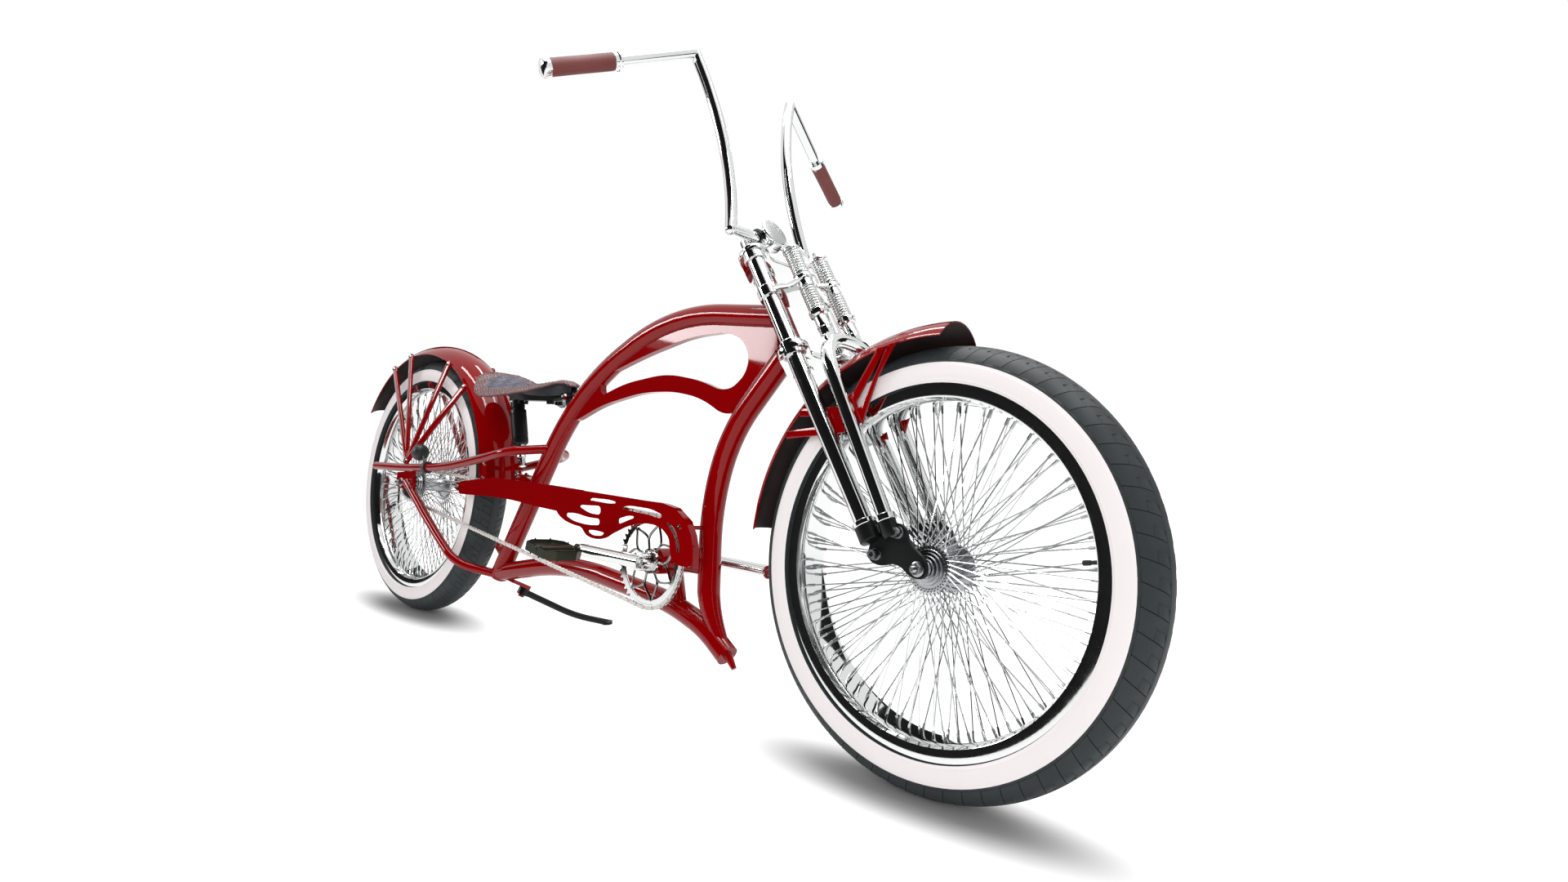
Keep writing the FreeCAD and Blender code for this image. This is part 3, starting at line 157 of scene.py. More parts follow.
@dataclass(frozen=True)
class Finish:
    """One surface: what it is made of and how it was made.

    Grain is the fine bump, mottle the slow change in gloss and tone; both in millimetres.
    """

    name: str
    slot: str
    colour: str
    tone: str = ""
    metallic: float = 0.0
    roughness: float = 0.5
    specular: float = 0.5
    coat: float = 0.0
    grain_mm: float = 0.0
    grain_depth_mm: float = 0.0
    mottle_mm: float = 80.0
    gloss_spread: float = 0.05

    def pattern(self, tree: bpy.types.NodeTree) -> tuple[Any, Any]:
        """The height and the tone mask of this finish; plain noise unless a finish has more.

        Args:
            tree: the material's node tree.

        Returns:
            Output sockets for the height and for the tone mask.
        """
        place = add_node(tree, "ShaderNodeTexCoord")
        grain = add_node(tree, "ShaderNodeTexNoise",
                         {"Scale": METRE / max(self.grain_mm, 0.5), "Detail": 4.0},
                         {"Vector": place.outputs["Object"]})
        mottle = add_node(tree, "ShaderNodeTexNoise",
                          {"Scale": METRE / self.mottle_mm, "Detail": 3.0},
                          {"Vector": place.outputs["Object"]})
        return grain.outputs["Fac"], mottle.outputs["Fac"]

    def material(self) -> bpy.types.Material:
        """The material, made once and then shared.

        Returns:
            The node material of this finish.
        """
        known = bpy.data.materials.get(self.name)
        if known:
            return known
        made = bpy.data.materials.new(self.name)
        made.use_nodes = True
        tree = made.node_tree
        shader = tree.nodes["Principled BSDF"]
        for socket, value in (("Metallic", self.metallic), ("Coat Weight", self.coat),
                              ("Specular IOR Level", self.specular),
                              ("Coat Roughness", COAT_ROUGHNESS)):
            shader.inputs[socket].default_value = value
        height, mask = self.pattern(tree)
        spread = add_node(tree, "ShaderNodeMapRange",
                          {"From Min": 0.3, "From Max": 0.7,
                           "To Min": max(self.roughness - self.gloss_spread, LEAST_ROUGHNESS),
                           "To Max": self.roughness + self.gloss_spread}, {"Value": mask})
        tree.links.new(spread.outputs["Result"], shader.inputs["Roughness"])
        if self.tone:
            blend = add_node(tree, "ShaderNodeMix", {"data_type": "RGBA"}, {"Factor": mask})
            blend.inputs[6].default_value = linear(self.colour)
            blend.inputs[7].default_value = linear(self.tone)
            tree.links.new(blend.outputs[2], shader.inputs["Base Color"])
        else:
            shader.inputs["Base Color"].default_value = linear(self.colour)
        if self.grain_depth_mm:
            bump = add_node(tree, "ShaderNodeBump",
                            {"Distance": self.grain_depth_mm * MILLIMETRE, "Strength": 1.0},
                            {"Height": height})
            tree.links.new(bump.outputs["Normal"], shader.inputs["Normal"])
        return made


@dataclass(frozen=True)
class BasketWeaveLeather(Finish):
    """Embossed leather: a basket weave of short straps in square cells."""

    cell_mm: float = 16.0

    def pattern(self, tree: bpy.types.NodeTree) -> tuple[Any, Any]:
        """Checked wave bands: each cell's straps run across its neighbours'.

        Args:
            tree: the material's node tree.

        Returns:
            Output sockets for the height and for the tone mask.
        """
        place = add_node(tree, "ShaderNodeTexCoord")
        turned = add_node(tree, "ShaderNodeMapping", {"Rotation": (0.0, 0.0, math.radians(45.0)),
                                                      "Scale": (1.0, 1.0, 0.0)},
                          {"Vector": place.outputs["Object"]})
        check = add_node(tree, "ShaderNodeTexChecker", {"Scale": METRE / self.cell_mm},
                         {"Vector": turned.outputs["Vector"]})
        bands = []
        for direction in ("X", "Y"):
            wave = add_node(tree, "ShaderNodeTexWave",
                            {"bands_direction": direction,
                             "Scale": METRE / self.cell_mm / WAVE_BANDS},
                            {"Vector": turned.outputs["Vector"]})
            bands.append(wave.outputs["Fac"])
        woven = add_node(tree, "ShaderNodeMix", {"data_type": "FLOAT"},
                         {0: check.outputs["Fac"], 2: bands[0], 3: bands[1]})
        return woven.outputs[0], woven.outputs[0]


@dataclass(frozen=True)
class TooledBorder(Finish):
    """Leather stamped with a row of fine strokes."""

    stroke_mm: float = 2.6

    def pattern(self, tree: bpy.types.NodeTree) -> tuple[Any, Any]:
        """Crossed strokes, broken up by the hide's own grain.

        Args:
            tree: the material's node tree.

        Returns:
            Output sockets for the height and for the tone mask.
        """
        place = add_node(tree, "ShaderNodeTexCoord")
        strokes = add_node(tree, "ShaderNodeTexWave",
                           {"bands_direction": "DIAGONAL",
                            "Scale": METRE / self.stroke_mm / WAVE_BANDS,
                            "Distortion": 4.0, "Detail Scale": 3.0},
                           {"Vector": place.outputs["Object"]})
        return strokes.outputs["Fac"], strokes.outputs["Fac"]


# Candy enamel over steel, sprayed and cleared: deep red with a hard wet gloss
ENAMEL = Finish("candy_enamel_sprayed", "red_enamel", "930104", "840003", roughness=0.045,
                specular=0.16, coat=0.24, grain_mm=6.0, grain_depth_mm=0.002, gloss_spread=0.02)
# The same enamel where light and hands never reach, under the fenders: dull and dusty, its colour
# darkened almost to black as painted shade
DUSTY_SHADED_UNDERSIDE = Finish("dusty_underside_painted_shade", "red_enamel", "24100c", "180a08", roughness=0.55,
                   specular=0.2, grain_mm=2.0, grain_depth_mm=0.05, mottle_mm=30.0)
# Bright chrome plate on polished steel: mirror with faint polishing haze
CHROME = Finish("chrome_plated_steel", "chrome", "dcdedd", metallic=1.0, roughness=0.06,
                grain_mm=6.0, grain_depth_mm=0.003, mottle_mm=25.0, gloss_spread=0.02)
# Chrome plate over a brushed face: fine rings left by the lathe tool
BRUSHED = Finish("brushed_chrome_face", "chrome", "b9bbba", "a2a5a4", metallic=1.0, roughness=0.3,
                 grain_mm=0.8, grain_depth_mm=0.02, mottle_mm=12.0)
# Chrome plate on a rough casting, darker than the tubes
DARK_CHROME = Finish("dark_chrome_casting", "chrome", "8f9290", "7b7e7c", metallic=1.0,
                     roughness=0.16, grain_mm=2.5, grain_depth_mm=0.02, mottle_mm=18.0)
# Drawn stainless wire: bright with a fine haze
SPOKE_WIRE = Finish("drawn_stainless_wire", "spoke_steel", "c9cbcc", metallic=1.0, roughness=0.18)
# Zinc plated turned steel: soft grey shine
ZINC = Finish("zinc_plated_steel", "axle_steel", "b4b6b8", "9da0a3", metallic=1.0,
              roughness=0.25, grain_mm=1.2, grain_depth_mm=0.02, mottle_mm=9.0)
# Nickel plated stamped links
NICKEL = Finish("nickel_plated_links", "chain_steel", "efebe7", "d9d5d0", metallic=1.0,
                roughness=0.42, mottle_mm=14.0)
# Black enamel baked on steel: hard shine
BLACK = Finish("baked_black_enamel", "black_enamel", "0c0d0e", "131415", roughness=0.32,
               specular=0.22, grain_mm=2.0, grain_depth_mm=0.01)
# Anodised aluminium, bronze black: soft metal shine on the pedal cages
PEDAL_CAGE = Finish("anodised_pedal_aluminium", "black_enamel", "3a3a2c", "2a2b22",
                    metallic=0.7, roughness=0.36, grain_mm=1.5, grain_depth_mm=0.03)
# Oiled dark leather, embossed; the weave shows as soft relief
SADDLE_TOP = BasketWeaveLeather("embossed_saddle_leather", "saddle_leather", "1b1a29", "56526c",
                                roughness=0.42, grain_depth_mm=1.1)
# Red-brown tooled border of the same hide
SADDLE_EDGE = TooledBorder("tooled_border_leather", "saddle_leather", "7a4543", "4a2f38",
                           roughness=0.45, grain_depth_mm=0.7)
# Black hide on the saddle's skirt and underside, smooth with fine pores
SADDLE_SKIRT = Finish("smooth_skirt_leather", "saddle_leather", "18171d", "23212a",
                      roughness=0.4, grain_mm=1.5, grain_depth_mm=0.12, mottle_mm=12.0)
# Waxed linen thread
THREAD = Finish("waxed_linen_thread", "saddle_leather", "b9a79d", roughness=0.7,
                grain_mm=0.6, grain_depth_mm=0.1)
# Moulded rubber grip, red-brown
GRIP = Finish("moulded_grip_rubber", "grip_rubber", "7c3b38", "6b322f", roughness=0.62,
              grain_mm=1.0, grain_depth_mm=0.12)
# Vulcanised tread rubber: dark grey, matt with bloom
TREAD = Finish("vulcanised_tread_rubber", "tyre_rubber", "32383a", "292e30", roughness=0.55,
               specular=0.3, grain_mm=0.9, grain_depth_mm=0.08)
# White side wall rubber, smooth moulded
WHITEWALL = Finish("white_sidewall_rubber", "tyre_rubber", "f8f1f1", "f2ebeb", roughness=0.45,
                   grain_mm=4.0, grain_depth_mm=0.03)
# Black moulded nylon: matt with fine spark texture
NYLON = Finish("moulded_black_nylon", "black_nylon", "17181a", "1e1f22", roughness=0.5,
               grain_mm=0.7, grain_depth_mm=0.06)
# Ribbed plastic lens behind which a bulb would sit, dark smoked
LENS = Finish("smoked_lens_plastic", "black_nylon", "1c1416", roughness=0.12, coat=0.6,
              grain_mm=5.0, grain_depth_mm=0.15)


def from_parked(point: Vector) -> Vector:
    """Takes a point of the leaning frame in metres back to upright millimetres."""
    return UPRIGHT @ point


def mesh_of(bm: bmesh.types.BMesh, name: str) -> bpy.types.Mesh:
    """Writes a bmesh to a new mesh and frees it.

    Args:
        bm: the bmesh, of no use afterwards.
        name: the mesh's name.

    Returns:
        The mesh.
    """
    mesh = bpy.data.meshes.new(name)
    bm.to_mesh(mesh)
    bm.free()
    return mesh


def add_object(name: str, data: bpy.types.ID) -> bpy.types.Object:
    """Makes an object of some data and links it to the scene.

    Args:
        name: the object's name.
        data: its mesh, camera or lamp.

    Returns:
        The object.
    """
    made = bpy.data.objects.new(name, data)
    bpy.context.scene.collection.objects.link(made)
    return made


def add_mesh(bm: bmesh.types.BMesh, mesh: bpy.types.Mesh) -> list[bmesh.types.BMVert]:
    """Adds a mesh to a bmesh.

    Args:
        bm: the mesh to add to.
        mesh: what is added.

    Returns:
        The new vertices.
    """
    known = len(bm.verts)
    bm.from_mesh(mesh)
    bm.verts.ensure_lookup_table()
    return bm.verts[known:]


def place_piece(bm: bmesh.types.BMesh, name: str, body: str, finishes: Sequence[Finish],
                replaces: Sequence[str] = (), sharp: float = 35.0,
                upright: bool = True) -> bpy.types.Object:
    """Turns a finished bmesh into an object that rides on a body.

    Args:
        bm: the mesh in upright millimetres, or in row metres if upright is false.
        name: the piece's name.
        body: the CAD body that it moves with.
        finishes: one finish per material index.
        replaces: CAD nodes that it stands for.
        sharp: degrees between faces above which an edge stays sharp.
        upright: whether the mesh still has to be leaned over.

    Returns:
        The object, at the origin with its place in its mesh.
    """
    bmesh.ops.remove_doubles(bm, verts=bm.verts, dist=WELD if upright else WELD * MILLIMETRE)
    bmesh.ops.recalc_face_normals(bm, faces=bm.faces)
    if upright:
        bm.transform(PARKED)
    mesh = mesh_of(bm, name)
    mesh.shade_smooth()
    mesh.set_sharp_from_angle(angle=math.radians(sharp))
    piece = add_object(name, mesh)
    for finish in finishes:
        mesh.materials.append(finish.material())
    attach(piece, body)
    if replaces:
        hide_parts(*replaces)
    log.info("%s: %d faces on %s", name, len(mesh.polygons), body)
    return piece


def settle(piece: bpy.types.Object) -> None:
    """Applies a piece's modifiers, shades it smooth and keeps its materials.

    Args:
        piece: the piece.
    """
    held = list(piece.data.materials)
    shape = piece.evaluated_get(bpy.context.evaluated_depsgraph_get())
    mesh = bpy.data.meshes.new_from_object(shape)
    piece.modifiers.clear()
    piece.data = mesh
    mesh.materials.clear()
    for material in held:
        mesh.materials.append(material)
    mesh.shade_smooth()


def polish_node(node: str, body: str, finishes: Finish | Sequence[Finish], sharp: float = 32.0,
                edge: float = 0.0,
                zone: Callable[[Vector, Vector], int] | None = None) -> None:
    """Stands a smooth, welded copy of a CAD node in its place.

    Args:
        node: the CAD node.
        body: the body that it belongs to.
        finishes: its finish, or one for each zone.
        sharp: degrees between faces above which an edge stays sharp.
        edge: millimetres by which sharp edges are broken, or zero.
        zone: gives a face's finish from its centre and normal, both upright.
    """
    bm = bmesh.new()
    bm.from_mesh(frame["nodes"][node].data)
    bmesh.ops.remove_doubles(bm, verts=bm.verts, dist=WELD * MILLIMETRE)
    if edge:
        flat, corner = math.radians(0.6), math.radians(50.0)
        bmesh.ops.dissolve_limit(bm, angle_limit=flat, verts=bm.verts, edges=bm.edges,
                                 use_dissolve_boundaries=False)
        rims = [rim for rim in bm.edges if rim.calc_face_angle(0.0) > corner]
        break_edges(bm, rims, edge * MILLIMETRE)
    if zone:
        for face in bm.faces:
            face.material_index = zone(from_parked(face.calc_center_median()),
                                       UPRIGHT.to_3x3() @ face.normal)
    picked = (finishes,) if isinstance(finishes, Finish) else finishes
    piece = place_piece(bm, node + "_skin", body, picked, (node,), sharp, upright=False)
    flats = piece.modifiers.new("flats_stay_flat", "WEIGHTED_NORMAL")
    flats.keep_sharp = True


def break_edges(bm: bmesh.types.BMesh, rims: list[bmesh.types.BMEdge], width: float) -> None:
    """Rounds sharp edges off with a narrow bevel.

    Args:
        bm: the mesh.
        rims: the edges to break.
        width: the bevel's width, in the mesh's own unit.
    """
    bmesh.ops.bevel(bm, geom=rims, offset=width, affect="EDGES", segments=BEVEL_STEPS,
                    profile=0.5, material=-1, clamp_overlap=True)


def pull(bm: bmesh.types.BMesh, faces: list[bmesh.types.BMFace], way: Vector,
         keep: bool = True) -> None:
    """Extrudes faces by a vector.

    Args:
        bm: the mesh.
        faces: the faces.
        way: how far and which way the new end moves.
        keep: whether the first faces stay as the other end.
    """
    raised = bmesh.ops.extrude_face_region(bm, geom=faces, use_keep_orig=keep)["geom"]
    verts = [item for item in raised if isinstance(item, bmesh.types.BMVert)]
    bmesh.ops.translate(bm, verts=verts, vec=way)


def lathe(bm: bmesh.types.BMesh, profile: Sequence[tuple[float, float]], centre: Vector,
          axis: Vector, steps: int = 48, closed: bool = False, material: int = 0) -> None:
    """Spins a profile into a turned form.

    Args:
        bm: the mesh to add to.
        profile: pairs of place along the axis and radius.
        centre: the point of the axis from which the places are measured.
        axis: the axis's direction.
        steps: faces round the form.
        closed: whether the profile's last point joins its first.
        material: the material index of the new faces.
    """
    axis = axis.normalized()
    out = axis.orthogonal().normalized()
    before = set(bm.faces)
    verts = [bm.verts.new(centre + axis * along + out * radius) for along, radius in profile]
    ends = verts[1:] + verts[:1] if closed else verts[1:]
    edges = [bm.edges.new(pair) for pair in zip(verts, ends)]
    bmesh.ops.spin(bm, geom=verts + edges, cent=centre, axis=axis, dvec=(0, 0, 0),
                   angle=2 * math.pi, steps=steps, use_merge=True, use_duplicate=False)
    for face in bm.faces:
        if face not in before:
            face.material_index = material


def swept(bm: bmesh.types.BMesh, points: Iterable[Vector], radius: float, sides: int = 8,
          cyclic: bool = False, material: int = 0) -> None:
    """Adds a round bar along a run of points.

    Args:
        bm: the mesh to add to.
        points: the bar's centre line.
        radius: the bar's radius.
        sides: faces round the bar.
        cyclic: whether the bar closes on itself.
        material: the material index of the new faces.
    """
    line = [Vector(point) for point in points]
    curve = bpy.data.curves.new("sweep", "CURVE")
    curve.dimensions = "3D"
    curve.bevel_depth = radius
    curve.bevel_resolution = max(sides // 4 - 1, 0)
    curve.use_fill_caps = not cyclic
    spline = curve.splines.new("POLY")
    spline.points.add(len(line) - 1)
    for point, place in zip(spline.points, line):
        point.co = (*place, 1.0)
    spline.use_cyclic_u = cyclic
    holder = bpy.data.objects.new("sweep", curve)
    mesh = bpy.data.meshes.new_from_object(holder)
    before = set(bm.faces)
    bm.from_mesh(mesh)
    for face in bm.faces:
        if face not in before:
            face.material_index = material
    bpy.data.objects.remove(holder)
    bpy.data.curves.remove(curve)
    bpy.data.meshes.remove(mesh)


def smooth_line(points: Sequence[Vector], per_span: int = 8) -> list[Vector]:
    """A smooth run through a few guiding points.

    Args:
        points: the guiding points.
        per_span: points in each span.

    Returns:
        The finer run, from the first guiding point to the last.
    """
    line = []
    padded = [points[0] * 2 - points[1], *points, points[-1] * 2 - points[-2]]
    for a, b, c, d in zip(padded, padded[1:], padded[2:], padded[3:]):
        for step in range(per_span):
            t = step / per_span
            line.append(((b * 2) + (c - a) * t + (a * 2 - b * 5 + c * 4 - d) * t * t
                         + (b * 3 - a - c * 3 + d) * t ** 3) * 0.5)
    line.append(points[-1].copy())
    return line


def prism(bm: bmesh.types.BMesh, outline: Sequence[Vector], depth: Vector,
          edge: float = 0.0) -> None:
    """Extrudes a flat outline and breaks its sharp edges.

    Args:
        bm: the mesh to add to.
        outline: the outline's corners, in order.
        depth: the way and length of the extrusion.
        edge: width of the broken edges, or zero.
    """
    before = set(bm.faces)
    pull(bm, [bm.faces.new([bm.verts.new(corner) for corner in outline])], depth)
    made = [item for item in bm.faces if item not in before]
    bmesh.ops.recalc_face_normals(bm, faces=made)
    if edge:
        rims = {rim for item in made for rim in item.edges
                if rim.calc_face_angle(0.0) > PRISM_CORNER}
        break_edges(bm, list(rims), edge)


def strap(bm: bmesh.types.BMesh, start: Vector, end: Vector, width: float,
          thick: float) -> None:
    """Adds a flat bar with round ends and broken edges, its faces to left and right.

    Args:
        bm: the mesh to add to.
        start: the middle of one end.
        end: the middle of the other.
        width: its width.
        thick: its thickness.
    """
    edge = 0.7
    way = (end - start).normalized()
    across = LEFT.cross(way).normalized()
    face = way.cross(across)
    outline = []
    for centre, turn in ((end, 90.0), (start, -90.0)):
        for step in range(7):
            angle = math.radians(turn - 30.0 * step)
            out = across * math.sin(angle) + way * math.cos(angle)
            outline.append(centre + out * (width / 2) - face * (thick / 2))
    prism(bm, outline, face * thick, edge)


def rounded_path(points: Sequence[Vector], reach: Sequence[float], steps: int = 12) -> list[Vector]:
    """A run of straight lines whose corners are bent to arcs.

    Args:
        points: the run's corners.
        reach: for each inner corner how far its arc reaches along both lines.
        steps: points in each arc.

    Returns:
        The points of the bent run.
    """
    line = [points[0]]
    for before, corner, after, cut in zip(points, points[1:], points[2:], reach):
        into = (corner - before).normalized()
        out = (after - corner).normalized()
        turn = into.angle(out)
        pull = cut * (1.0 - 4.0 / 3.0 * math.tan(turn / 4) / math.tan(turn / 2))
        spots = (corner - into * cut, corner - into * pull, corner + out * pull,
                 corner + out * cut)
        for step in range(steps + 1):
            t = step / steps
            line.append(spots[0] * (1 - t) ** 3 + spots[1] * 3 * t * (1 - t) ** 2
                        + spots[2] * 3 * t * t * (1 - t) + spots[3] * t ** 3)
    line.append(points[-1])
    return line


class Head(Enum):
    """Shape of a fastener's head, by its number of sides."""

    HEX = 6
    ROUND = 24


def fastener(bm: bmesh.types.BMesh, at: Vector, way: Vector, radius: float, height: float,
             head: Head = Head.ROUND) -> None:
    """Adds a bolt head or a nut with a broken edge and, on a round head, a hex socket.

    Args:
        bm: the mesh to add to.
        at: the middle of its seat.
        way: the direction that it faces.
        radius: its radius.
        height: its height.
        head: its shape.
    """
    way = way.normalized()
    turn = way.to_track_quat("Z", "Y").to_matrix().to_4x4()
    place = Matrix.Translation(at + way * (height / 2)) @ turn
    made = bmesh.ops.create_cone(bm, cap_ends=True, cap_tris=False, segments=head.value,
                                 radius1=radius, radius2=radius * 0.93, depth=height,
                                 matrix=place)
    faces = {face for vert in made["verts"] for face in vert.link_faces}
    top = max(faces, key=lambda face: face.calc_center_median().dot(way))
    bmesh.ops.inset_individual(bm, faces=[top], thickness=radius * 0.5, depth=0.0)
    if head is Head.ROUND:
        pull(bm, [top], way * (-height * 0.5), keep=False)
        bmesh.ops.delete(bm, geom=[top], context="FACES_ONLY")


@dataclass
class Wheel:
    """One whitewall wheel with its tread, rim, lacing and hub."""

    prefix: str
    centre: Vector
    body: str
    spoke_pairs: int = 72
    sweep: float = 25.0
    wire: float = 1.15
    nipple: float = 13.0
    hub_radius: float = 35.0
    flange_y: float = 37.0
    rim_radius: float = 262.0
    blocks: int = 64
    groove: float = 1.6
    slant: float = 0.42
    valve_turn: float = 0.0

    def tyre(self) -> None:
        """Balloon tyre: side walls in white rubber, block tread bent round the crown."""
        bm = bmesh.new()
        bead_drop, white_edge = 14.4, 322.0
        rim_wall = math.sqrt(TYRE_SECTION ** 2 - bead_drop ** 2)
        start = math.asin((white_edge - TYRE_RING) / TYRE_SECTION)
        sidewall = [(rim_wall, 289.6), (49.2, 294.0), (49.6, 294.6), (49.2, 295.2), (49.8, 300.0),
                    (50.0, 304.0), (49.6, 311.0), (48.6, 316.0), (48.5, 317.0), (48.0, 317.6),
                    (47.6, 319.4), (TYRE_SECTION * math.cos(start), white_edge)]
        for side in SIDES:
            wall = [(side * y, r) for y, r in sidewall]
            lathe(bm, wall, self.centre, LEFT, 2 * self.blocks, material=1)
            bead = [(side * rim_wall, 289.6), (side * 38.2, 289.6), (side * 38.2, 277.3)]
            lathe(bm, bead, self.centre, LEFT, 2 * self.blocks)
        lathe(bm, [(-38.2, 277.3), (38.2, 277.3)], self.centre, LEFT, 2 * self.blocks)
        self.tread(bm, start)
        place_piece(bm, self.prefix + "_tyre_rubber", self.body, (TREAD, WHITEWALL),
                    (self.prefix + "_tyre",), 24.0)

    def tread(self, bm: bmesh.types.BMesh, start: float) -> None:
        """Cuts one pitch of the tread flat, repeats it and bends the strip round the tyre.

        Args:
            bm: the tyre's mesh.
            start: section angle of the white walls' edge.
        """
        half = TYRE_SECTION * (math.pi / 2 - start)
        rib, hook, shoulder, wall = 4.6, 29.0, 50.0, 0.75
        lines = (0.0, 3.4, rib, 13.0, 21.0, hook, 36.0, 43.5, shoulder, 51.2, 56.0, half)
        across = list(lines) + [2 * half - line for line in reversed(lines[:-1])]
        columns = len(across) - 1
        pitch = 2 * math.pi * (TYRE_RING + TYRE_SECTION) / self.blocks
        strip = bmesh.new()
        bmesh.ops.create_grid(strip, x_segments=columns, y_segments=2, size=0.5)
        for vert in strip.verts:
            vert.co = Vector((across[round((vert.co.x + 0.5) * columns)],
                              (vert.co.y + 0.5) * pitch, 0.0))
        groups: dict[str, list[bmesh.types.BMFace]] = {}
        for face in strip.faces:
            middle = face.calc_center_median()
            reach = min(middle.x, 2 * half - middle.x)
            late = middle.y > pitch / 2
            if rib < reach < shoulder:
                side = "near" if middle.x < half else "far"
                kind = "hook" if reach > hook and not late else "block"
                groups.setdefault(side + kind, []).append(face)
        sunk = {vert for faces in groups.values() for face in faces for edge in face.edges
                if sum(other in faces for other in edge.link_faces) == 1 for vert in edge.verts}
        for faces in groups.values():
            bmesh.ops.inset_region(strip, faces=faces, use_boundary=True, use_even_offset=True,
                                   thickness=wall, depth=0.0)
        for vert in sunk:
            vert.co.z = -self.groove
        pitch_mesh = mesh_of(strip, "tread_pitch")
        for index in range(self.blocks):
            for vert in add_mesh(bm, pitch_mesh):
                x, y, z = vert.co
                section = start + x / TYRE_SECTION
                reach = TYRE_SECTION + z
                lean = self.slant * min(x, 2 * half - x)
                turn = (y + index * pitch - lean) / (TYRE_RING + TYRE_SECTION)
                out = TYRE_RING + reach * math.sin(section)
                vert.co = self.centre + round_axle(out, turn, reach * math.cos(section))
        bpy.data.meshes.remove(pitch_mesh)

    def rim(self) -> None:
        """Chromed rim with rolled lips and a dished well."""
        bm = bmesh.new()
        profile = [(38.7, 289.2), (41.2, 289.2), (42.0, 288.2), (42.0, 270.0), (41.0, 267.6),
                   (34.0, 264.6), (30.0, 262.3), (20.0, 261.4), (0.0, 261.0)]
        profile += [(-y, r) for y, r in reversed(profile[:-1])] + [(-38.5, 277.2), (38.5, 277.2)]
        lathe(bm, profile, self.centre, LEFT, 144, closed=True)
        place_piece(bm, self.prefix + "_rim_chrome", self.body, (CHROME,),
                    (self.prefix + "_rim",))

    def spokes(self) -> None:
        """Dense lacing: spokes that cross their neighbours, each with its nipple."""
        bm = bmesh.new()
        step = 2 * math.pi / self.spoke_pairs
        for side in SIDES:
            for index in range(self.spoke_pairs):
                way = 1.0 if index % 2 else -1.0
                leave = step * (index + 0.25 * side)
                arrive = leave + way * math.radians(self.sweep) - way * step * 0.14
                flange_y = side * self.flange_y + way * 2.2
                ends = []
                for radius, angle, y in ((self.hub_radius, leave, flange_y),
                                         (self.rim_radius - 1.0, arrive, side * 12.0 + way * 3.0)):
                    ends.append(self.centre + round_axle(radius, angle, y))
                run = ends[1] - ends[0]
                swept(bm, ends, self.wire, 6)
                lower = ends[1] - run.normalized() * self.nipple
                swept(bm, (lower, ends[1]), 2 * self.wire, 6)
        place_piece(bm, self.prefix + "_spokes_lacing", self.body, (SPOKE_WIRE,),
                    (self.prefix + "_spokes",), 60.0)

    def hub(self) -> None:
        """Hub shell: waisted barrel, drilled flanges with spoke heads, stepped ends."""
        bm = bmesh.new()
        half = [(0.0, 16.0), (20.0, 16.5), (31.0, 20.0), (34.0, 36.6), (35.0, 38.0), (39.0, 38.0),
                (39.6, 37.2), (40.0, 31.0), (41.0, 30.0), (41.4, 26.0), (44.5, 25.0),
                (45.0, 21.0), (48.0, 20.0), (48.4, 16.0), (52.0, 15.0), (52.5, 12.5),
                (56.0, 11.5), (56.6, 10.8), (56.6, 5.6)]
        lathe(bm, [(-y, r) for y, r in reversed(half[1:])] + half, self.centre, LEFT, 64)
        place_piece(bm, self.prefix + "_hub_shell", self.body, (ZINC,),
                    (self.prefix + "_hub",))
        heads = bmesh.new()
        for side in SIDES:
            for index in range(self.spoke_pairs):
                angle = 2 * math.pi * index / self.spoke_pairs
                radius = self.hub_radius - (0.0 if index % 2 else 3.4)
                at = self.centre + round_axle(radius, angle, side * 39.2)
                fastener(heads, at, LEFT * side, 1.6, 1.5, Head.HEX)
        place_piece(heads, self.prefix + "_spoke_heads", self.body, (SPOKE_WIRE,))

    def valve(self) -> None:
        """Valve stem with its cap, in black nylon, through the rim's well."""
        bm = bmesh.new()
        out = round_axle(1.0, math.radians(self.valve_turn))
        root = self.centre + out * self.rim_radius
        lathe(bm, [(-2.0, 0.0), (-2.0, 6.0), (4.0, 5.0), (6.0, 3.4), (20.0, 3.0), (20.5, 4.0),
                   (31.0, 4.0), (32.0, 3.0), (32.0, 0.0)], root, -out, 16)
        place_piece(bm, self.prefix + "_valve_stem", self.body, (NYLON,))

    def build(self) -> None:
        """Builds the whole wheel."""
        self.tyre()
        self.rim()
        self.spokes()
        self.hub()
        self.valve()


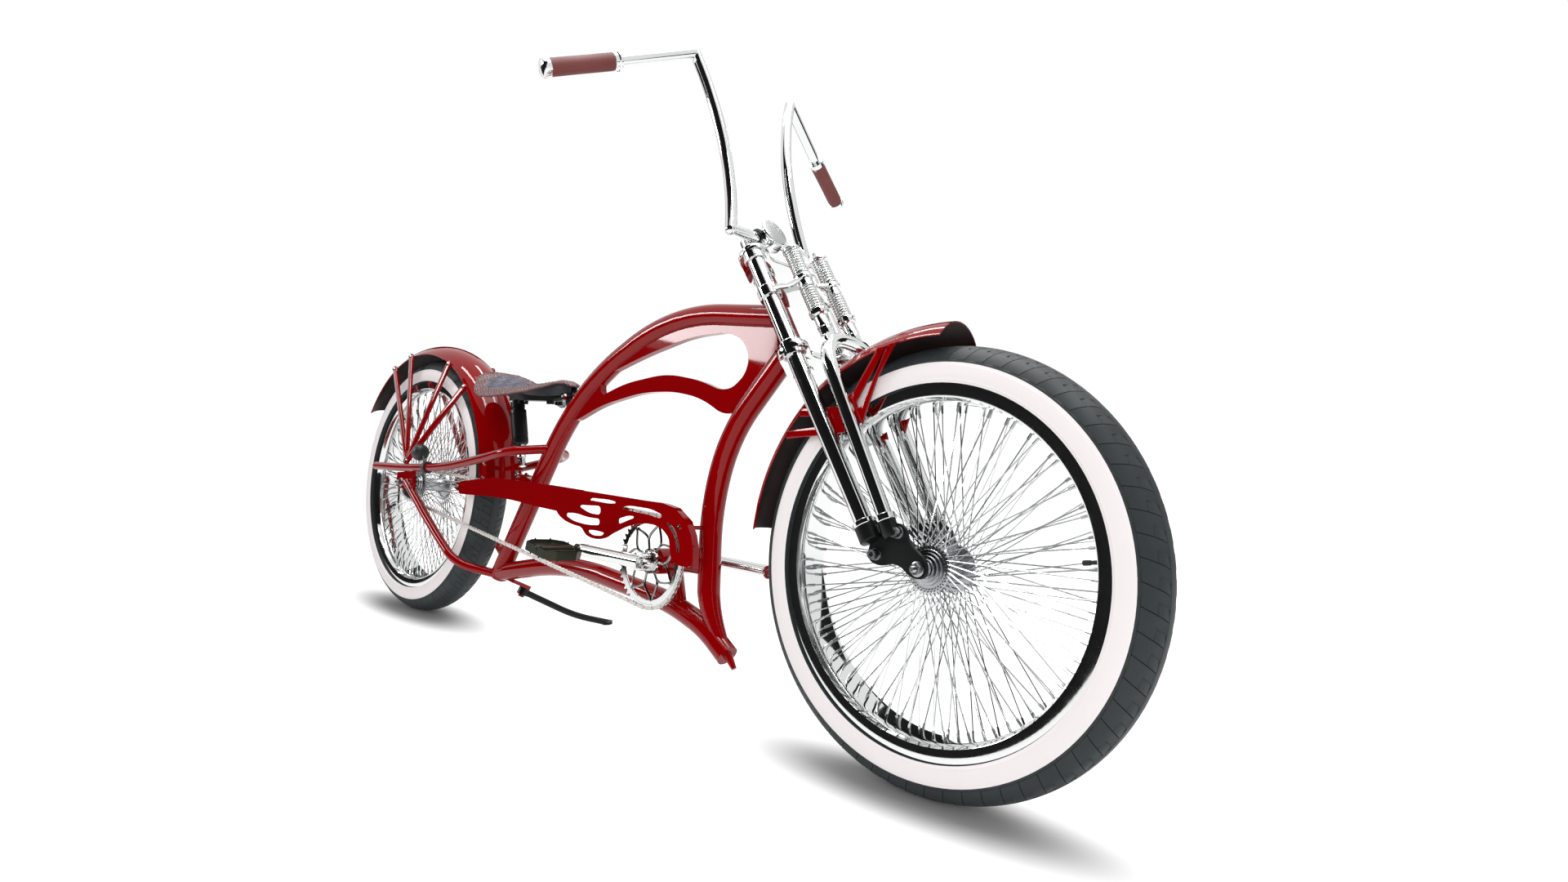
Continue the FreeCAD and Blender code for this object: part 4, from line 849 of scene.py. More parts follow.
@dataclass
class Studio:
    """Pale floor, soft light and the camera at the photograph's angle."""

    camera_at: Vector
    azimuth: float = 42.0
    pitch: float = -2.1
    roll: float = 5.5
    focal_px: float = 1086.0
    sensor_mm: float = 36.0
    image_px: float = 1920.0
    # strength of the surroundings for soft light, and for what is looked at or mirrored
    soft_world: float = 0.62
    seen_world: float = 1.0
    # the floor's glow at the tyres, away from them, and for soft light; the oval round each tyre's
    # foot, where the glow drops, is a painted shade patch
    near_glow: float = 0.0
    far_glow: float = 0.86
    bounce_glow: float = 0.35
    # half length and half width of each shadow's oval, and its shift to the right, in metres
    shadow_half: tuple[float, float] = (0.44, 0.12)
    shadow_shift: float = 0.01
    card_reach: float = 5.0
    box_reach: float = 4.9
    strip_height: float = 3.5
    box_glow: float = 20.0

    def camera(self) -> None:
        """Camera solved from the photograph, carried over with the leaning bicycle."""
        azimuth, pitch, roll = (math.radians(a) for a in (self.azimuth, self.pitch, self.roll))
        back = Vector((math.sin(azimuth) * math.cos(pitch), -math.cos(azimuth) * math.cos(pitch),
                       math.sin(pitch)))
        right = (-back).cross(UP).normalized()
        up = back.cross(right)
        right, up = (right * math.cos(roll) + up * math.sin(roll),
                     up * math.cos(roll) - right * math.sin(roll))
        turn = Matrix((right, up, back)).transposed()
        lens = bpy.data.cameras.new("photo_camera")
        lens.sensor_width = self.sensor_mm
        lens.lens = self.sensor_mm * self.focal_px / self.image_px
        camera = add_object("photo_camera", lens)
        parked_turn = PARKED.to_3x3() * (1.0 / MILLIMETRE)
        camera.matrix_world = (Matrix.Translation(PARKED @ self.camera_at)
                               @ (parked_turn @ turn).to_4x4())
        bpy.context.scene.camera = camera

    def looked_at(self, tree: bpy.types.NodeTree) -> tuple[bpy.types.Node, bpy.types.Node]:
        """Tells the rays that look or mirror from the rays of soft light.

        Args:
            tree: the node tree.

        Returns:
            The light path node, and a mask that is one for camera and mirrored rays.
        """
        rays = add_node(tree, "ShaderNodeLightPath")
        seen = add_node(tree, "ShaderNodeMath", {"operation": "MAXIMUM"},
                        {0: rays.outputs["Is Camera Ray"], 1: rays.outputs["Is Glossy Ray"]})
        return rays, seen

    def world(self) -> None:
        """Even pale surroundings, white where they are looked at or mirrored."""
        world = bpy.data.worlds.new("studio_world")
        bpy.context.scene.world = world
        world.use_nodes = True
        tree = world.node_tree
        tree.nodes.clear()
        rays, seen = self.looked_at(tree)
        shown = add_node(tree, "ShaderNodeMath", {"operation": "MAXIMUM"},
                         {0: seen.outputs[0], 1: rays.outputs["Is Transmission Ray"]})
        soft, white = (add_node(tree, "ShaderNodeBackground",
                                {"Color": linear("ffffff"), "Strength": strength})
                       for strength in (self.soft_world, self.seen_world))
        mix = add_node(tree, "ShaderNodeMixShader", {},
                       {0: shown.outputs[0], 1: soft.outputs[0], 2: white.outputs[0]})
        add_node(tree, "ShaderNodeOutputWorld", {}, {"Surface": mix.outputs[0]})

    def stage_piece(self, bm: bmesh.types.BMesh, name: str) -> tuple[bpy.types.Object, Any]:
        """Makes a stage object with an empty node material.

        Args:
            bm: its mesh, in metres.
            name: its name.

        Returns:
            The object and its material's node tree.
        """
        piece = add_object(name, mesh_of(bm, name))
        paper = bpy.data.materials.new(name + "_surface")
        paper.use_nodes = True
        paper.node_tree.nodes.clear()
        piece.data.materials.append(paper)
        return piece, paper.node_tree

    def floor(self) -> None:
        """Seamless paper with painted shade at the tyres: its glow drops in an oval round each
        tyre's foot, where it takes the shadow, and fades up to white away from them.
        """
        bm = bmesh.new()
        bmesh.ops.create_grid(bm, x_segments=1, y_segments=1, size=30.0)
        _, tree = self.stage_piece(bm, "studio_floor")
        _, seen = self.looked_at(tree)
        place = add_node(tree, "ShaderNodeTexCoord")
        rises = []
        for hub in (REAR_HUB, FRONT_HUB):
            foot = PARKED @ (hub - Vector((0.0, 0.0, TYRE_RING + TYRE_SECTION)))
            moved = add_node(tree, "ShaderNodeVectorMath", {"operation": "SUBTRACT"},
                             {0: place.outputs["Object"]})
            moved.inputs[1].default_value = (foot.x, foot.y - self.shadow_shift, 0.0)
            squeezed = add_node(tree, "ShaderNodeVectorMath", {"operation": "MULTIPLY"},
                                {0: moved.outputs[0]})
            squeezed.inputs[1].default_value = (*(1.0 / half for half in self.shadow_half), 0.0)
            away = add_node(tree, "ShaderNodeVectorMath", {"operation": "LENGTH"},
                            {0: squeezed.outputs[0]})
            # each oval where the glow drops to near_glow is a painted darker patch round a tyre's
            # foot
            rises.append(add_node(tree, "ShaderNodeMapRange",
                                  {"interpolation_type": "SMOOTHSTEP", "From Min": 0.3,
                                   "From Max": 1.0, "To Min": self.near_glow,
                                   "To Max": self.far_glow},
                                  {"Value": away.outputs["Value"]}))
        rise = add_node(tree, "ShaderNodeMath", {"operation": "MINIMUM"},
                        {0: rises[0].outputs["Result"], 1: rises[1].outputs["Result"]})
        above = add_node(tree, "ShaderNodeMath", {"operation": "SUBTRACT", 1: self.bounce_glow},
                         {0: rise.outputs[0]})
        shown = add_node(tree, "ShaderNodeMath", {"operation": "MULTIPLY_ADD", 2: self.bounce_glow},
                         {0: seen.outputs[0], 1: above.outputs[0]})
        matt = add_node(tree, "ShaderNodeBsdfDiffuse", {"Color": linear("b0b0b0")})
        glow = add_node(tree, "ShaderNodeEmission", {"Color": linear("ffffff")},
                        {"Strength": shown.outputs[0]})
        both = add_node(tree, "ShaderNodeAddShader", {}, {0: matt.outputs[0], 1: glow.outputs[0]})
        add_node(tree, "ShaderNodeOutputMaterial", {}, {"Surface": both.outputs[0]})

    def cards(self) -> None:
        """Dark cards all round the set; only bright metal and gloss mirror them, as painted dark
        reflections that block no light.
        """
        bm = bmesh.new()
        # columns: first bearing in degrees, width in degrees, foot and top in metres
        for bearing, width, foot, top in ((225.0, 118.0, 0.05, 9.0), (14.0, 13.0, 0.0, 4.0),
                                          (198.0, 27.0, 0.05, 1.8),
                                          (52.0, 22.0, 0.0, 2.6), (98.0, 26.0, 0.0, 3.6),
                                          (146.0, 20.0, 0.0, 2.6)):
            ends = [bm.verts.new(round_set(self.card_reach, math.radians(bearing), z))
                    for z in (foot, top)]
            edge = bm.edges.new(ends)
            bmesh.ops.spin(bm, geom=ends + [edge], cent=(0, 0, 0), axis=(0, 0, 1),
                           dvec=(0, 0, 0), angle=math.radians(width), steps=12, use_merge=False,
                           use_duplicate=False)
        cards, tree = self.stage_piece(bm, "dark_cards")
        grain = add_node(tree, "ShaderNodeTexNoise", {"Scale": 3.0})
        tone = add_node(tree, "ShaderNodeMapRange", {"To Min": 0.004, "To Max": 0.03},
                        {"Value": grain.outputs["Fac"]})
        flock = add_node(tree, "ShaderNodeBsdfDiffuse", {}, {"Color": tone.outputs["Result"]})
        add_node(tree, "ShaderNodeOutputMaterial", {}, {"Surface": flock.outputs[0]})
        self.mirror_only(cards)

    def gloss_boxes(self) -> None:
        """Bright boxes that only gloss mirrors, painted highlights that light nothing: the web
        plate's wash and the tubes' thin lines.
        """
        bm = bmesh.new()
        wash = [(211.0, 1.84), (230.0, 1.84), (230.0, 2.7), (211.0, 2.7)]
        bm.faces.new([bm.verts.new(round_set(self.box_reach, math.radians(bearing), height))
                      for bearing, height in wash])
        for middle in (-0.5, 1.3):
            strip = [(-2.0, -0.13), (2.4, -0.13), (2.4, 0.13), (-2.0, 0.13)]
            bm.faces.new([bm.verts.new((x, middle + y, self.strip_height)) for x, y in strip])
        box, tree = self.stage_piece(bm, "gloss_boxes")
        glow = add_node(tree, "ShaderNodeEmission",
                        {"Color": linear("ffffff"), "Strength": self.box_glow})
        add_node(tree, "ShaderNodeOutputMaterial", {}, {"Surface": glow.outputs[0]})
        self.mirror_only(box)

    def mirror_only(self, piece: bpy.types.Object) -> None:
        """Hides a stage object from all rays but mirrored ones.

        Args:
            piece: the stage object.
        """
        piece.visible_camera = False
        piece.visible_diffuse = False
        piece.visible_shadow = False
        piece.visible_transmission = False

    def lamps(self) -> None:
        """Soft boxes: a key overhead, and a fill from the front and from the back."""
        # columns: name, place, aim, power, width, whether gloss mirrors it
        boxes = (("key_box", (0.4, 0.5, 3.8), (0.1, -0.1, 0.2), 60.0, 2.4, True),
                 ("front_fill", (2.8, -3.4, 1.7), (0.3, -0.1, 0.5), 62.0, 2.6, False),
                 ("back_fill", (-2.6, 2.8, 2.2), (0.0, -0.1, 0.4), 40.0, 2.2, False))
        for name, place, aim, power, width, glossy in boxes:
            lamp = bpy.data.lights.new(name, "AREA")
            lamp.energy = power
            lamp.size = width
            holder = add_object(name, lamp)
            holder.location = place
            holder.visible_glossy = glossy
            way = Vector(aim) - Vector(place)
            holder.rotation_euler = way.to_track_quat("-Z", "Y").to_euler()

    def build(self) -> None:
        """Sets the whole studio up."""
        self.camera()
        self.world()
        self.floor()
        self.cards()
        self.gloss_boxes()
        self.lamps()
        bpy.context.scene.view_settings.view_transform = "Standard"


@dataclass
class Bolt:
    """One fastener: where it sits, which way it faces and how large it is."""

    at: Vector
    way: Vector
    radius: float
    height: float
    head: Head = Head.ROUND


def bolt_set(name: str, body: str, bolts: Iterable[Bolt], finish: Finish) -> None:
    """Makes one piece of several fasteners.

    Args:
        name: the piece's name.
        body: the body that it rides on.
        bolts: the fasteners.
        finish: their finish.
    """
    bm = bmesh.new()
    for bolt in bolts:
        fastener(bm, bolt.at, bolt.way, bolt.radius, bolt.height, bolt.head)
    place_piece(bm, name, body, (finish,))


def axle_set(name: str, body: str, node: str, centre: Vector, nut_y: float) -> None:
    """Threaded axle with a washer and a hex nut at each end, in place of the plain one.

    Args:
        name: the piece's name.
        body: the body that it rides on.
        node: the CAD axle.
        centre: the wheel's centre.
        nut_y: where the nuts bear, left of the middle.
    """
    bm = bmesh.new()
    crest, root, turns = 5.0, 4.4, 16
    end = nut_y + turns + 1.0
    thread = [(0.0, crest), (nut_y, crest)]
    for turn in range(turns):
        thread += [(nut_y + turn + 0.3, root), (nut_y + turn + 0.8, crest)]
    thread += [(end - 0.5, 4.2), (end, 3.6), (end, 0.0)]
    for side in SIDES:
        lathe(bm, thread, centre, LEFT * side, 24)
        lathe(bm, [(nut_y, 4.6), (nut_y, 12.0), (nut_y + 1.6, 12.0), (nut_y + 1.8, 11.6),
                   (nut_y + 1.8, 4.6)], centre, LEFT * side, 32, closed=True)
        fastener(bm, centre + LEFT * (side * (nut_y + 1.8)), LEFT * side, 9.6, 8.0, Head.HEX)
    place_piece(bm, name, body, (ZINC,), (node,), 30.0)


@dataclass
class Springer:
    """All that turns with the fork: springer, bar, grips and front fender."""

    spring_ahead: float = 103.0
    spring_y: float = 40.0
    wire: float = 2.1
    coil_radius: float = 12.8
    leg_ahead: float = 46.0
    leg_y: float = 75.0
    leg_end: float = 598.0
    leg_radius: float = 16.0
    clamp_radius: float = 21.0
    fork_y: float = 74.0
    coil_steps: int = 20

    def coils(self) -> None:
        """Four coil springs, each wound round its rod."""
        bm = bmesh.new()
        # columns: s where the coil starts, where it ends, turns
        for start, end, turns in ((62.0, 118.6, 9), (144.6, 205.6, 10)):
            for side in SIDES:
                self.wind(bm, start + self.wire, end - self.wire, turns, side)
        place_piece(bm, "spring_coils", "fork", (CHROME,), ("springs",), 60.0)

    def wind(self, bm: bmesh.types.BMesh, start: float, end: float, turns: int,
             side: float) -> None:
        """Winds one coil by spinning a wire section along the rod.

        Args:
            bm: the mesh to add to.
            start: s of the first turn.
            end: s of the last turn.
            turns: number of turns.
            side: left or right rod.
        """
        centre = fork_point(start, self.spring_ahead, side * self.spring_y)
        section = bmesh.ops.create_circle(bm, segments=8, radius=self.wire, cap_ends=True)["verts"]
        turn = Matrix((AHEAD, DOWN, AHEAD.cross(DOWN))).transposed().to_4x4()
        place = Matrix.Translation(centre + AHEAD * self.coil_radius) @ turn
        bmesh.ops.transform(bm, matrix=place, verts=section)
        cap = section[0].link_faces[0]
        edges = list(cap.edges)
        steps = turns * self.coil_steps
        moved = bmesh.ops.spin(bm, geom=edges + section, cent=centre, axis=DOWN,
                               dvec=DOWN * ((end - start) / steps), angle=2 * math.pi * turns,
                               steps=steps, use_merge=False, use_duplicate=False)
        last = [item for item in moved["geom_last"] if isinstance(item, bmesh.types.BMEdge)]
        bmesh.ops.contextual_create(bm, geom=last)

    def spring_hardware(self) -> None:
        """Washers, retaining nuts and cups at the ends of the springs."""
        # profiles of s and radius: top washer, middle cups under and over, foot cup
        seats = (((57.4, 5.0), (57.4, 12.0), (58.0, 15.6), (59.0, 16.6), (61.6, 16.6),
                  (62.2, 15.8), (62.2, 5.0)),
                 ((143.6, 5.2), (143.6, 14.0), (144.2, 15.4), (146.0, 15.6), (146.2, 13.4),
                  (146.2, 5.2)),
                 ((118.9, 5.2), (118.9, 14.6), (118.0, 16.4), (116.2, 16.6), (116.0, 14.8),
                  (116.4, 5.2)),
                 ((199.6, 15.0), (199.6, 16.8), (206.2, 16.8), (209.6, 15.6), (212.0, 12.4),
                  (212.0, 11.0), (206.0, 11.0), (206.0, 15.0)))
        band = ((232.0, 12.0), (232.6, 13.4), (236.4, 13.4), (237.0, 12.0))
        bm, bolts = bmesh.new(), bmesh.new()
        for side in SIDES:
            root = fork_point(0.0, self.spring_ahead, side * self.spring_y)
            for seat in seats:
                lathe(bm, seat, root, DOWN, 40, closed=True)
            lathe(bm, band, root, DOWN, 32, closed=True)
            fastener(bolts, root + DOWN * 56.6, -DOWN, 10.6, 8.0, Head.HEX)
            fastener(bolts, root + DOWN * 46.6, -DOWN, 7.4, 5.6, Head.HEX)
            fastener(bolts, root + DOWN * 204.0 + AHEAD * 16.2, AHEAD, 3.8, 3.4)
        for mesh, name in ((bm, "spring_seats"), (bolts, "spring_nuts")):
            place_piece(mesh, name, "fork", (CHROME,), (), 30.0)

    def leg_hardware(self) -> None:
        """Chrome bands on the black sockets, domed caps and the clamps' pinch bolts."""
        bands, black = bmesh.new(), bmesh.new()
        bolts = []
        for side in SIDES:
            leg = fork_point(0.0, self.leg_ahead, side * self.leg_y)
            lathe(bands, [(588.0, 16.0), (588.0, 19.4), (589.0, 20.4), (595.6, 20.4),
                          (596.6, 19.4), (596.6, 16.0)], leg, DOWN, 48, closed=True)
            lathe(bands, [(34.5, 19.6), (27.0, 19.6), (23.4, 17.6), (20.6, 12.0), (19.8, 0.0)],
                  leg, DOWN, 48)
            lathe(bands, [(48.4, 16.2), (48.4, 20.6), (50.4, 20.6), (51.0, 19.4), (51.0, 16.2)],
                  leg, DOWN, 48, closed=True)
            y = side * self.fork_y
            foot = [fork_point(606.0, 85.2, y), fork_point(598.0, 85.9, y)]
            way = (foot[1] - foot[0]).normalized()
            lathe(bands, [(-2.0, 12.8), (-2.0, 16.4), (-1.0, 17.2), (8.0, 17.2), (9.0, 16.2),
                          (9.0, 12.8)], foot[0], way, 40, closed=True)
            lathe(black, [(-2.0, 0.0), (-2.0, 15.0), (20.0, 14.4), (28.0, 11.0), (28.0, 0.0)],
                  fork_point(607.0, 85.1, y), -way, 32)
            for s, reach in ((36.0, 19.6), (126.0, 20.6), (251.0, 20.6)):
                bolts.append(Bolt(fork_point(s, self.leg_ahead - reach, side * self.leg_y),
                                  -AHEAD, 4.2, 3.6))
        place_piece(bands, "leg_bands", "fork", (CHROME,), (), 30.0)
        place_piece(black, "front_leg_sockets", "fork", (BLACK,), (), 30.0)
        bolt_set("clamp_bolts", "fork", bolts, CHROME)

    def clamp(self, bm: bmesh.types.BMesh, start: float, end: float, n: float, y: float,
              bore: float, outer: float) -> None:
        """Adds a turned clamp or boss along the steering axis.

        Args:
            bm: the mesh to add to.
            start: its top along the axis.
            end: its foot along the axis.
            n: how far ahead of the axis its own axis lies.
            y: how far to the left.
            bore: its inner radius.
            outer: its outer radius.
        """
        lathe(bm, [(start, bore), (start, outer - 1.6), (start + 0.5, outer - 0.5),
                   (start + 1.6, outer), (end - 1.6, outer), (end - 0.5, outer - 0.5),
                   (end, outer - 1.6), (end, bore)], fork_point(0.0, n, y), DOWN, 56, closed=True)

    def web(self, bm: bmesh.types.BMesh, half: Sequence[tuple[float, float]], start: float,
            thick: float) -> None:
        """Adds a forged plate across both legs.

        Args:
            bm: the mesh to add to.
            half: ahead and left of the axis, its left half from back to front.
            start: its top along the axis.
            thick: its thickness.
        """
        corners = [fork_point(start, n, y) for n, y in mirrored(half)]
        outline = smooth_line([corners[-1], *corners, corners[0], corners[1]], 5)
        prism(bm, outline[5:-10], DOWN * thick, 1.6)

    def crowns(self) -> None:
        """Top plate, forged middle bracket and lower crown, each clamped on the legs."""
        plate = [(-24.0, 0.0), (-22.0, 20.0), (0.0, 56.0), (22.0, 90.0), (46.0, 95.0),
                 (68.0, 86.0), (70.0, 60.0), (52.0, 32.0), (49.0, 0.0)]
        leg_bore, steerer_bore = 15.9, 13.9
        # columns: node, the plate's top and thickness, the clamps' top, foot and radius
        for node, start, thick, top, foot, outer in (
                ("top_clamp", 27.0, 8.0, 22.0, 48.0, 20.0),
                ("lower_crown", 244.0, 14.0, 236.0, 266.0, self.clamp_radius)):
            bm = bmesh.new()
            self.web(bm, plate, start, thick)
            for side in SIDES:
                self.clamp(bm, top, foot, self.leg_ahead, side * self.leg_y, leg_bore, outer)
            self.clamp(bm, start - 3.0, start + thick + 3.0, 0.0, 0.0, steerer_bore,
                       self.clamp_radius)
            place_piece(bm, node + "_forged", "fork", (CHROME,), (node,), 24.0)
        bm = bmesh.new()
        wing = [(32.0, 0.0), (30.0, 30.0), (34.0, 66.0), (58.0, 84.0), (80.0, 64.0),
                (98.0, 52.0), (112.0, 34.0), (104.0, 12.0), (100.0, 0.0)]
        self.web(bm, wing, 122.0, 8.0)
        for side in SIDES:
            self.clamp(bm, 115.0, 137.0, self.leg_ahead, side * self.leg_y, leg_bore,
                       self.clamp_radius)
            self.clamp(bm, 119.0, 144.0, self.spring_ahead, side * self.spring_y, 5.0, 13.0)
            self.clamp(bm, 121.6, 130.4, self.spring_ahead, side * self.spring_y, 5.0, 17.4)
            edge = [fork_point(s, n, side * y) for s, n, y in
                    ((124.0, 54.0, 86.0), (128.0, 70.0, 76.0), (132.0, 84.0, 64.0),
                     (130.0, 96.0, 55.0), (126.0, 106.0, 48.0))]
            swept(bm, smooth_line(edge, 5), 5.0, 12)
        place_piece(bm, "spring_bracket_forged", "fork", (CHROME,), ("spring_bracket",), 24.0)

    def legs(self) -> None:
        """Straight rear legs in black sockets, and the bent front fork with its posts."""
        bm = bmesh.new()
        for side in SIDES:
            foot = fork_point(0.0, self.leg_ahead, side * self.leg_y)
            lathe(bm, [(self.leg_end, 0.0), (self.leg_end, self.leg_radius),
                       (320.0, self.leg_radius), (34.0, self.leg_radius), (34.0, 0.0)],
                  foot, DOWN, 64)
            lathe(bm, [(590.0, 15.0), (590.0, 18.4), (590.6, 19.0), (621.0, 19.0), (623.4, 17.6),
                       (624.0, 14.0), (624.0, 0.0)], foot, DOWN, 48, material=1)
        place_piece(bm, "rear_legs_chromed", "fork", (CHROME, BLACK), ("rear_legs",), 30.0)
        bm = bmesh.new()
        leg = ((612.0, 85.0), (430.0, 97.0), (260.0, 107.0))
        path = [fork_point(s, n, self.fork_y) for s, n in leg]
        path += [fork_point(s, n, -self.fork_y) for s, n in reversed(leg)]
        swept(bm, rounded_path(path, (70.0, 66.0, 66.0, 70.0)), 13.0, 40)
        for side in SIDES:
            y = side * self.spring_y
            self.clamp(bm, 206.0, 262.0, self.spring_ahead, y, 4.0, 12.0)
            lathe(bm, [(46.0, 0.0), (46.0, 5.0), (222.0, 5.0), (222.0, 0.0)],
                  fork_point(0.0, self.spring_ahead, y), DOWN, 24)
        gusset = [(254.0, 56.0), (262.0, 64.0), (284.0, 66.0), (274.0, 54.0), (266.0, 40.0),
                  (264.0, 0.0)]
        gusset += [(s, -y) for s, y in reversed(gusset[:-1])]
        prism(bm, [fork_point(s, 100.0, y) for s, y in gusset], AHEAD * 14.0, 1.5)
        place_piece(bm, "front_fork_chromed", "fork", (CHROME,), ("front_fork",), 30.0)

    def rockers(self) -> None:
        """Black rocker plates with broken edges and zinc plated pivot bolts."""
        polish_node("rockers", "fork", BLACK, 30.0, 0.8)
        bolts = []
        for side in SIDES:
            for x, z in ((-80.0, 12.0), (-42.0, 51.0)):
                at = FRONT_HUB + Vector((x, side * 70.0, z))
                washer = 2.0
                bolts.append(Bolt(at, LEFT * side, 10.6, washer))
                bolts.append(Bolt(at + LEFT * (side * washer), LEFT * side, 8.6, 10.4))
        bolt_set("rocker_bolts", "fork", bolts, ZINC)

    def stem_zone(self, centre: Vector, _: Vector) -> int:
        """Brushed on the stem's round face, black on the ends of its bar clamp.

        Args:
            centre: a face's centre. The face's normal, which comes next, isn't needed.

        Returns:
            The finish's place in the list.
        """
        face_ahead, clamp_half = 57.0, 20.5
        offset = centre - HEAD_TOP
        if offset.dot(AHEAD) > face_ahead:
            return 1
        return 2 if abs(offset.y) > clamp_half else 0

    def controls(self) -> None:
        """Stem, tall bar and grips with their chrome collars and caps."""
        polish_node("stem", "fork", (CHROME, BRUSHED, BLACK), 30.0, 0.0, self.stem_zone)
        polish_node("handlebar", "fork", CHROME, 28.0)
        bm = bmesh.new()
        middle = fork_point(-32.0, 0.0)
        lathe(bm, [(56.0, 0.0), (56.0, 24.0), (57.0, 28.0), (59.4, 30.0), (62.0, 30.4),
                   (63.4, 29.6)], middle, AHEAD, 64)
        lathe(bm, [(63.4, 29.6), (64.2, 27.6), (64.6, 0.0)], middle, AHEAD, 64, material=1)
        place_piece(bm, "stem_face", "fork", (CHROME, BRUSHED), (), 40.0)
        for side, name in zip(SIDES, ("left", "right")):
            inner = HEAD_TOP + Vector((-131.0, side * 281.0, 323.0))
            outer = HEAD_TOP + Vector((-164.0, side * 412.0, 264.0))
            way = (outer - inner).normalized()
            length = (outer - inner).length
            bm = bmesh.new()
            sleeve = [(12.0, 11.2), (12.0, 15.2), (14.0, 15.9), (20.0, 15.9), (length / 2, 15.7),
                      (length - 16.0, 15.9), (length - 9.0, 15.7), (length - 8.4, 15.0),
                      (length - 8.4, 11.2)]
            lathe(bm, sleeve, inner, way, 48, closed=True)
            place_piece(bm, "grip_rubber_" + name, "fork", (GRIP,), ("grip_" + name,), 40.0)
            bm = bmesh.new()
            lathe(bm, [(0.0, 11.0), (0.0, 17.0), (0.8, 18.2), (4.4, 18.2), (5.4, 17.0),
                       (6.4, 16.4), (13.6, 16.4), (14.2, 15.6), (14.2, 11.0)],
                  inner, way, 48, closed=True)
            lathe(bm, [(length - 9.6, 11.0), (length - 9.6, 16.0), (length - 9.0, 16.8),
                       (length + 1.6, 16.8), (length + 3.2, 16.2), (length + 4.6, 13.6),
                       (length + 5.8, 7.0), (length + 6.0, 0.0), (length - 1.0, 0.0),
                       (length - 1.0, 11.0)], inner, way, 48)
            fastener(bm, inner + way * 9.3 - UP * 15.6, -UP, 2.6, 2.4)
            place_piece(bm, "grip_collars_" + name, "fork", (CHROME,), (), 30.0)

    def front_fender(self) -> None:
        """Front fender, bright outside and dull inside, the inside darkened with painted shade,
        with rolled edges and its braces.
        """
        polish_node("front_fender", "fork", (ENAMEL, DUSTY_SHADED_UNDERSIDE), 30.0, 0.0,
                    lambda centre, normal: int(normal.dot(centre - FRONT_HUB) < 0.0))
        # one forked plate reaches up from the leg and one back, each held by two bolts
        plates = (((1515, 266), (1528, 269), (1570, 344), (1586, 346), (1536, 254), (1541, 244),
                   (1549, 247), (1590, 349), (1604, 351), (1575, 296), (1557, 235), (1553, 217)),
                  ((1500, 246), (1415, 240), (1418, 226), (1470, 228), (1484, 220), (1470, 212),
                   (1388, 200), (1392, 186), (1452, 194), (1518, 203)))
        bolts = ((1575, 338), (1594, 342), (1424, 232), (1400, 195))
        inside, thick = 60.0, 5.0
        bm = bmesh.new()
        for side in SIDES:
            for plate in plates:
                outline = [Vector((x, side * inside, z)) for x, z in plate]
                prism(bm, outline, LEFT * (side * thick), 0.8)
            for x, z in bolts:
                fastener(bm, Vector((x, side * (inside + thick), z)), LEFT * side, 4.0, 3.0)
        place_piece(bm, "front_fender_braces", "fork", (ENAMEL,), ("front_fender_struts",), 24.0)
        rolled_edges("front_fender_beads", "fork", FRONT_HUB, 56.0, 91.0, 177.0)

    def build(self) -> None:
        """Dresses the whole fork."""
        self.coils()
        self.spring_hardware()
        self.leg_hardware()
        polish_node("steerer", "fork", CHROME)
        self.crowns()
        self.legs()
        self.rockers()
        axle_set("front_axle_nuts", "fork", "front_axle", FRONT_HUB, 70.0)
        self.controls()
        self.front_fender()


def rolled_edges(name: str, body: str, centre: Vector, half: float, start: float,
                 end: float) -> None:
    """Rolls a small bead along both lower edges of a fender.

    Args:
        name: the piece's name.
        body: the body that it rides on.
        centre: the wheel's centre.
        half: the fender's half width.
        start: first angle from straight ahead, in degrees.
        end: last angle.
    """
    bm = bmesh.new()
    radius = TYRE_RING + TYRE_SECTION + 10.0
    spare, steps = 0.3, 48
    for side in SIDES:
        line = []
        for step in range(steps + 1):
            turn = math.radians(start + spare + (end - start - 2 * spare) * step / steps)
            line.append(centre + round_axle(radius, turn, side * (half - 1.6)))
        swept(bm, line, 1.8, 8)
    place_piece(bm, name, body, (ENAMEL,), (), 50.0)


class Curve(Enum):
    """A lengthwise curve of the saddle, by its column in the saddle's table."""

    RIDGE = 1
    FALL = 2
    HALF_WIDTH = 3


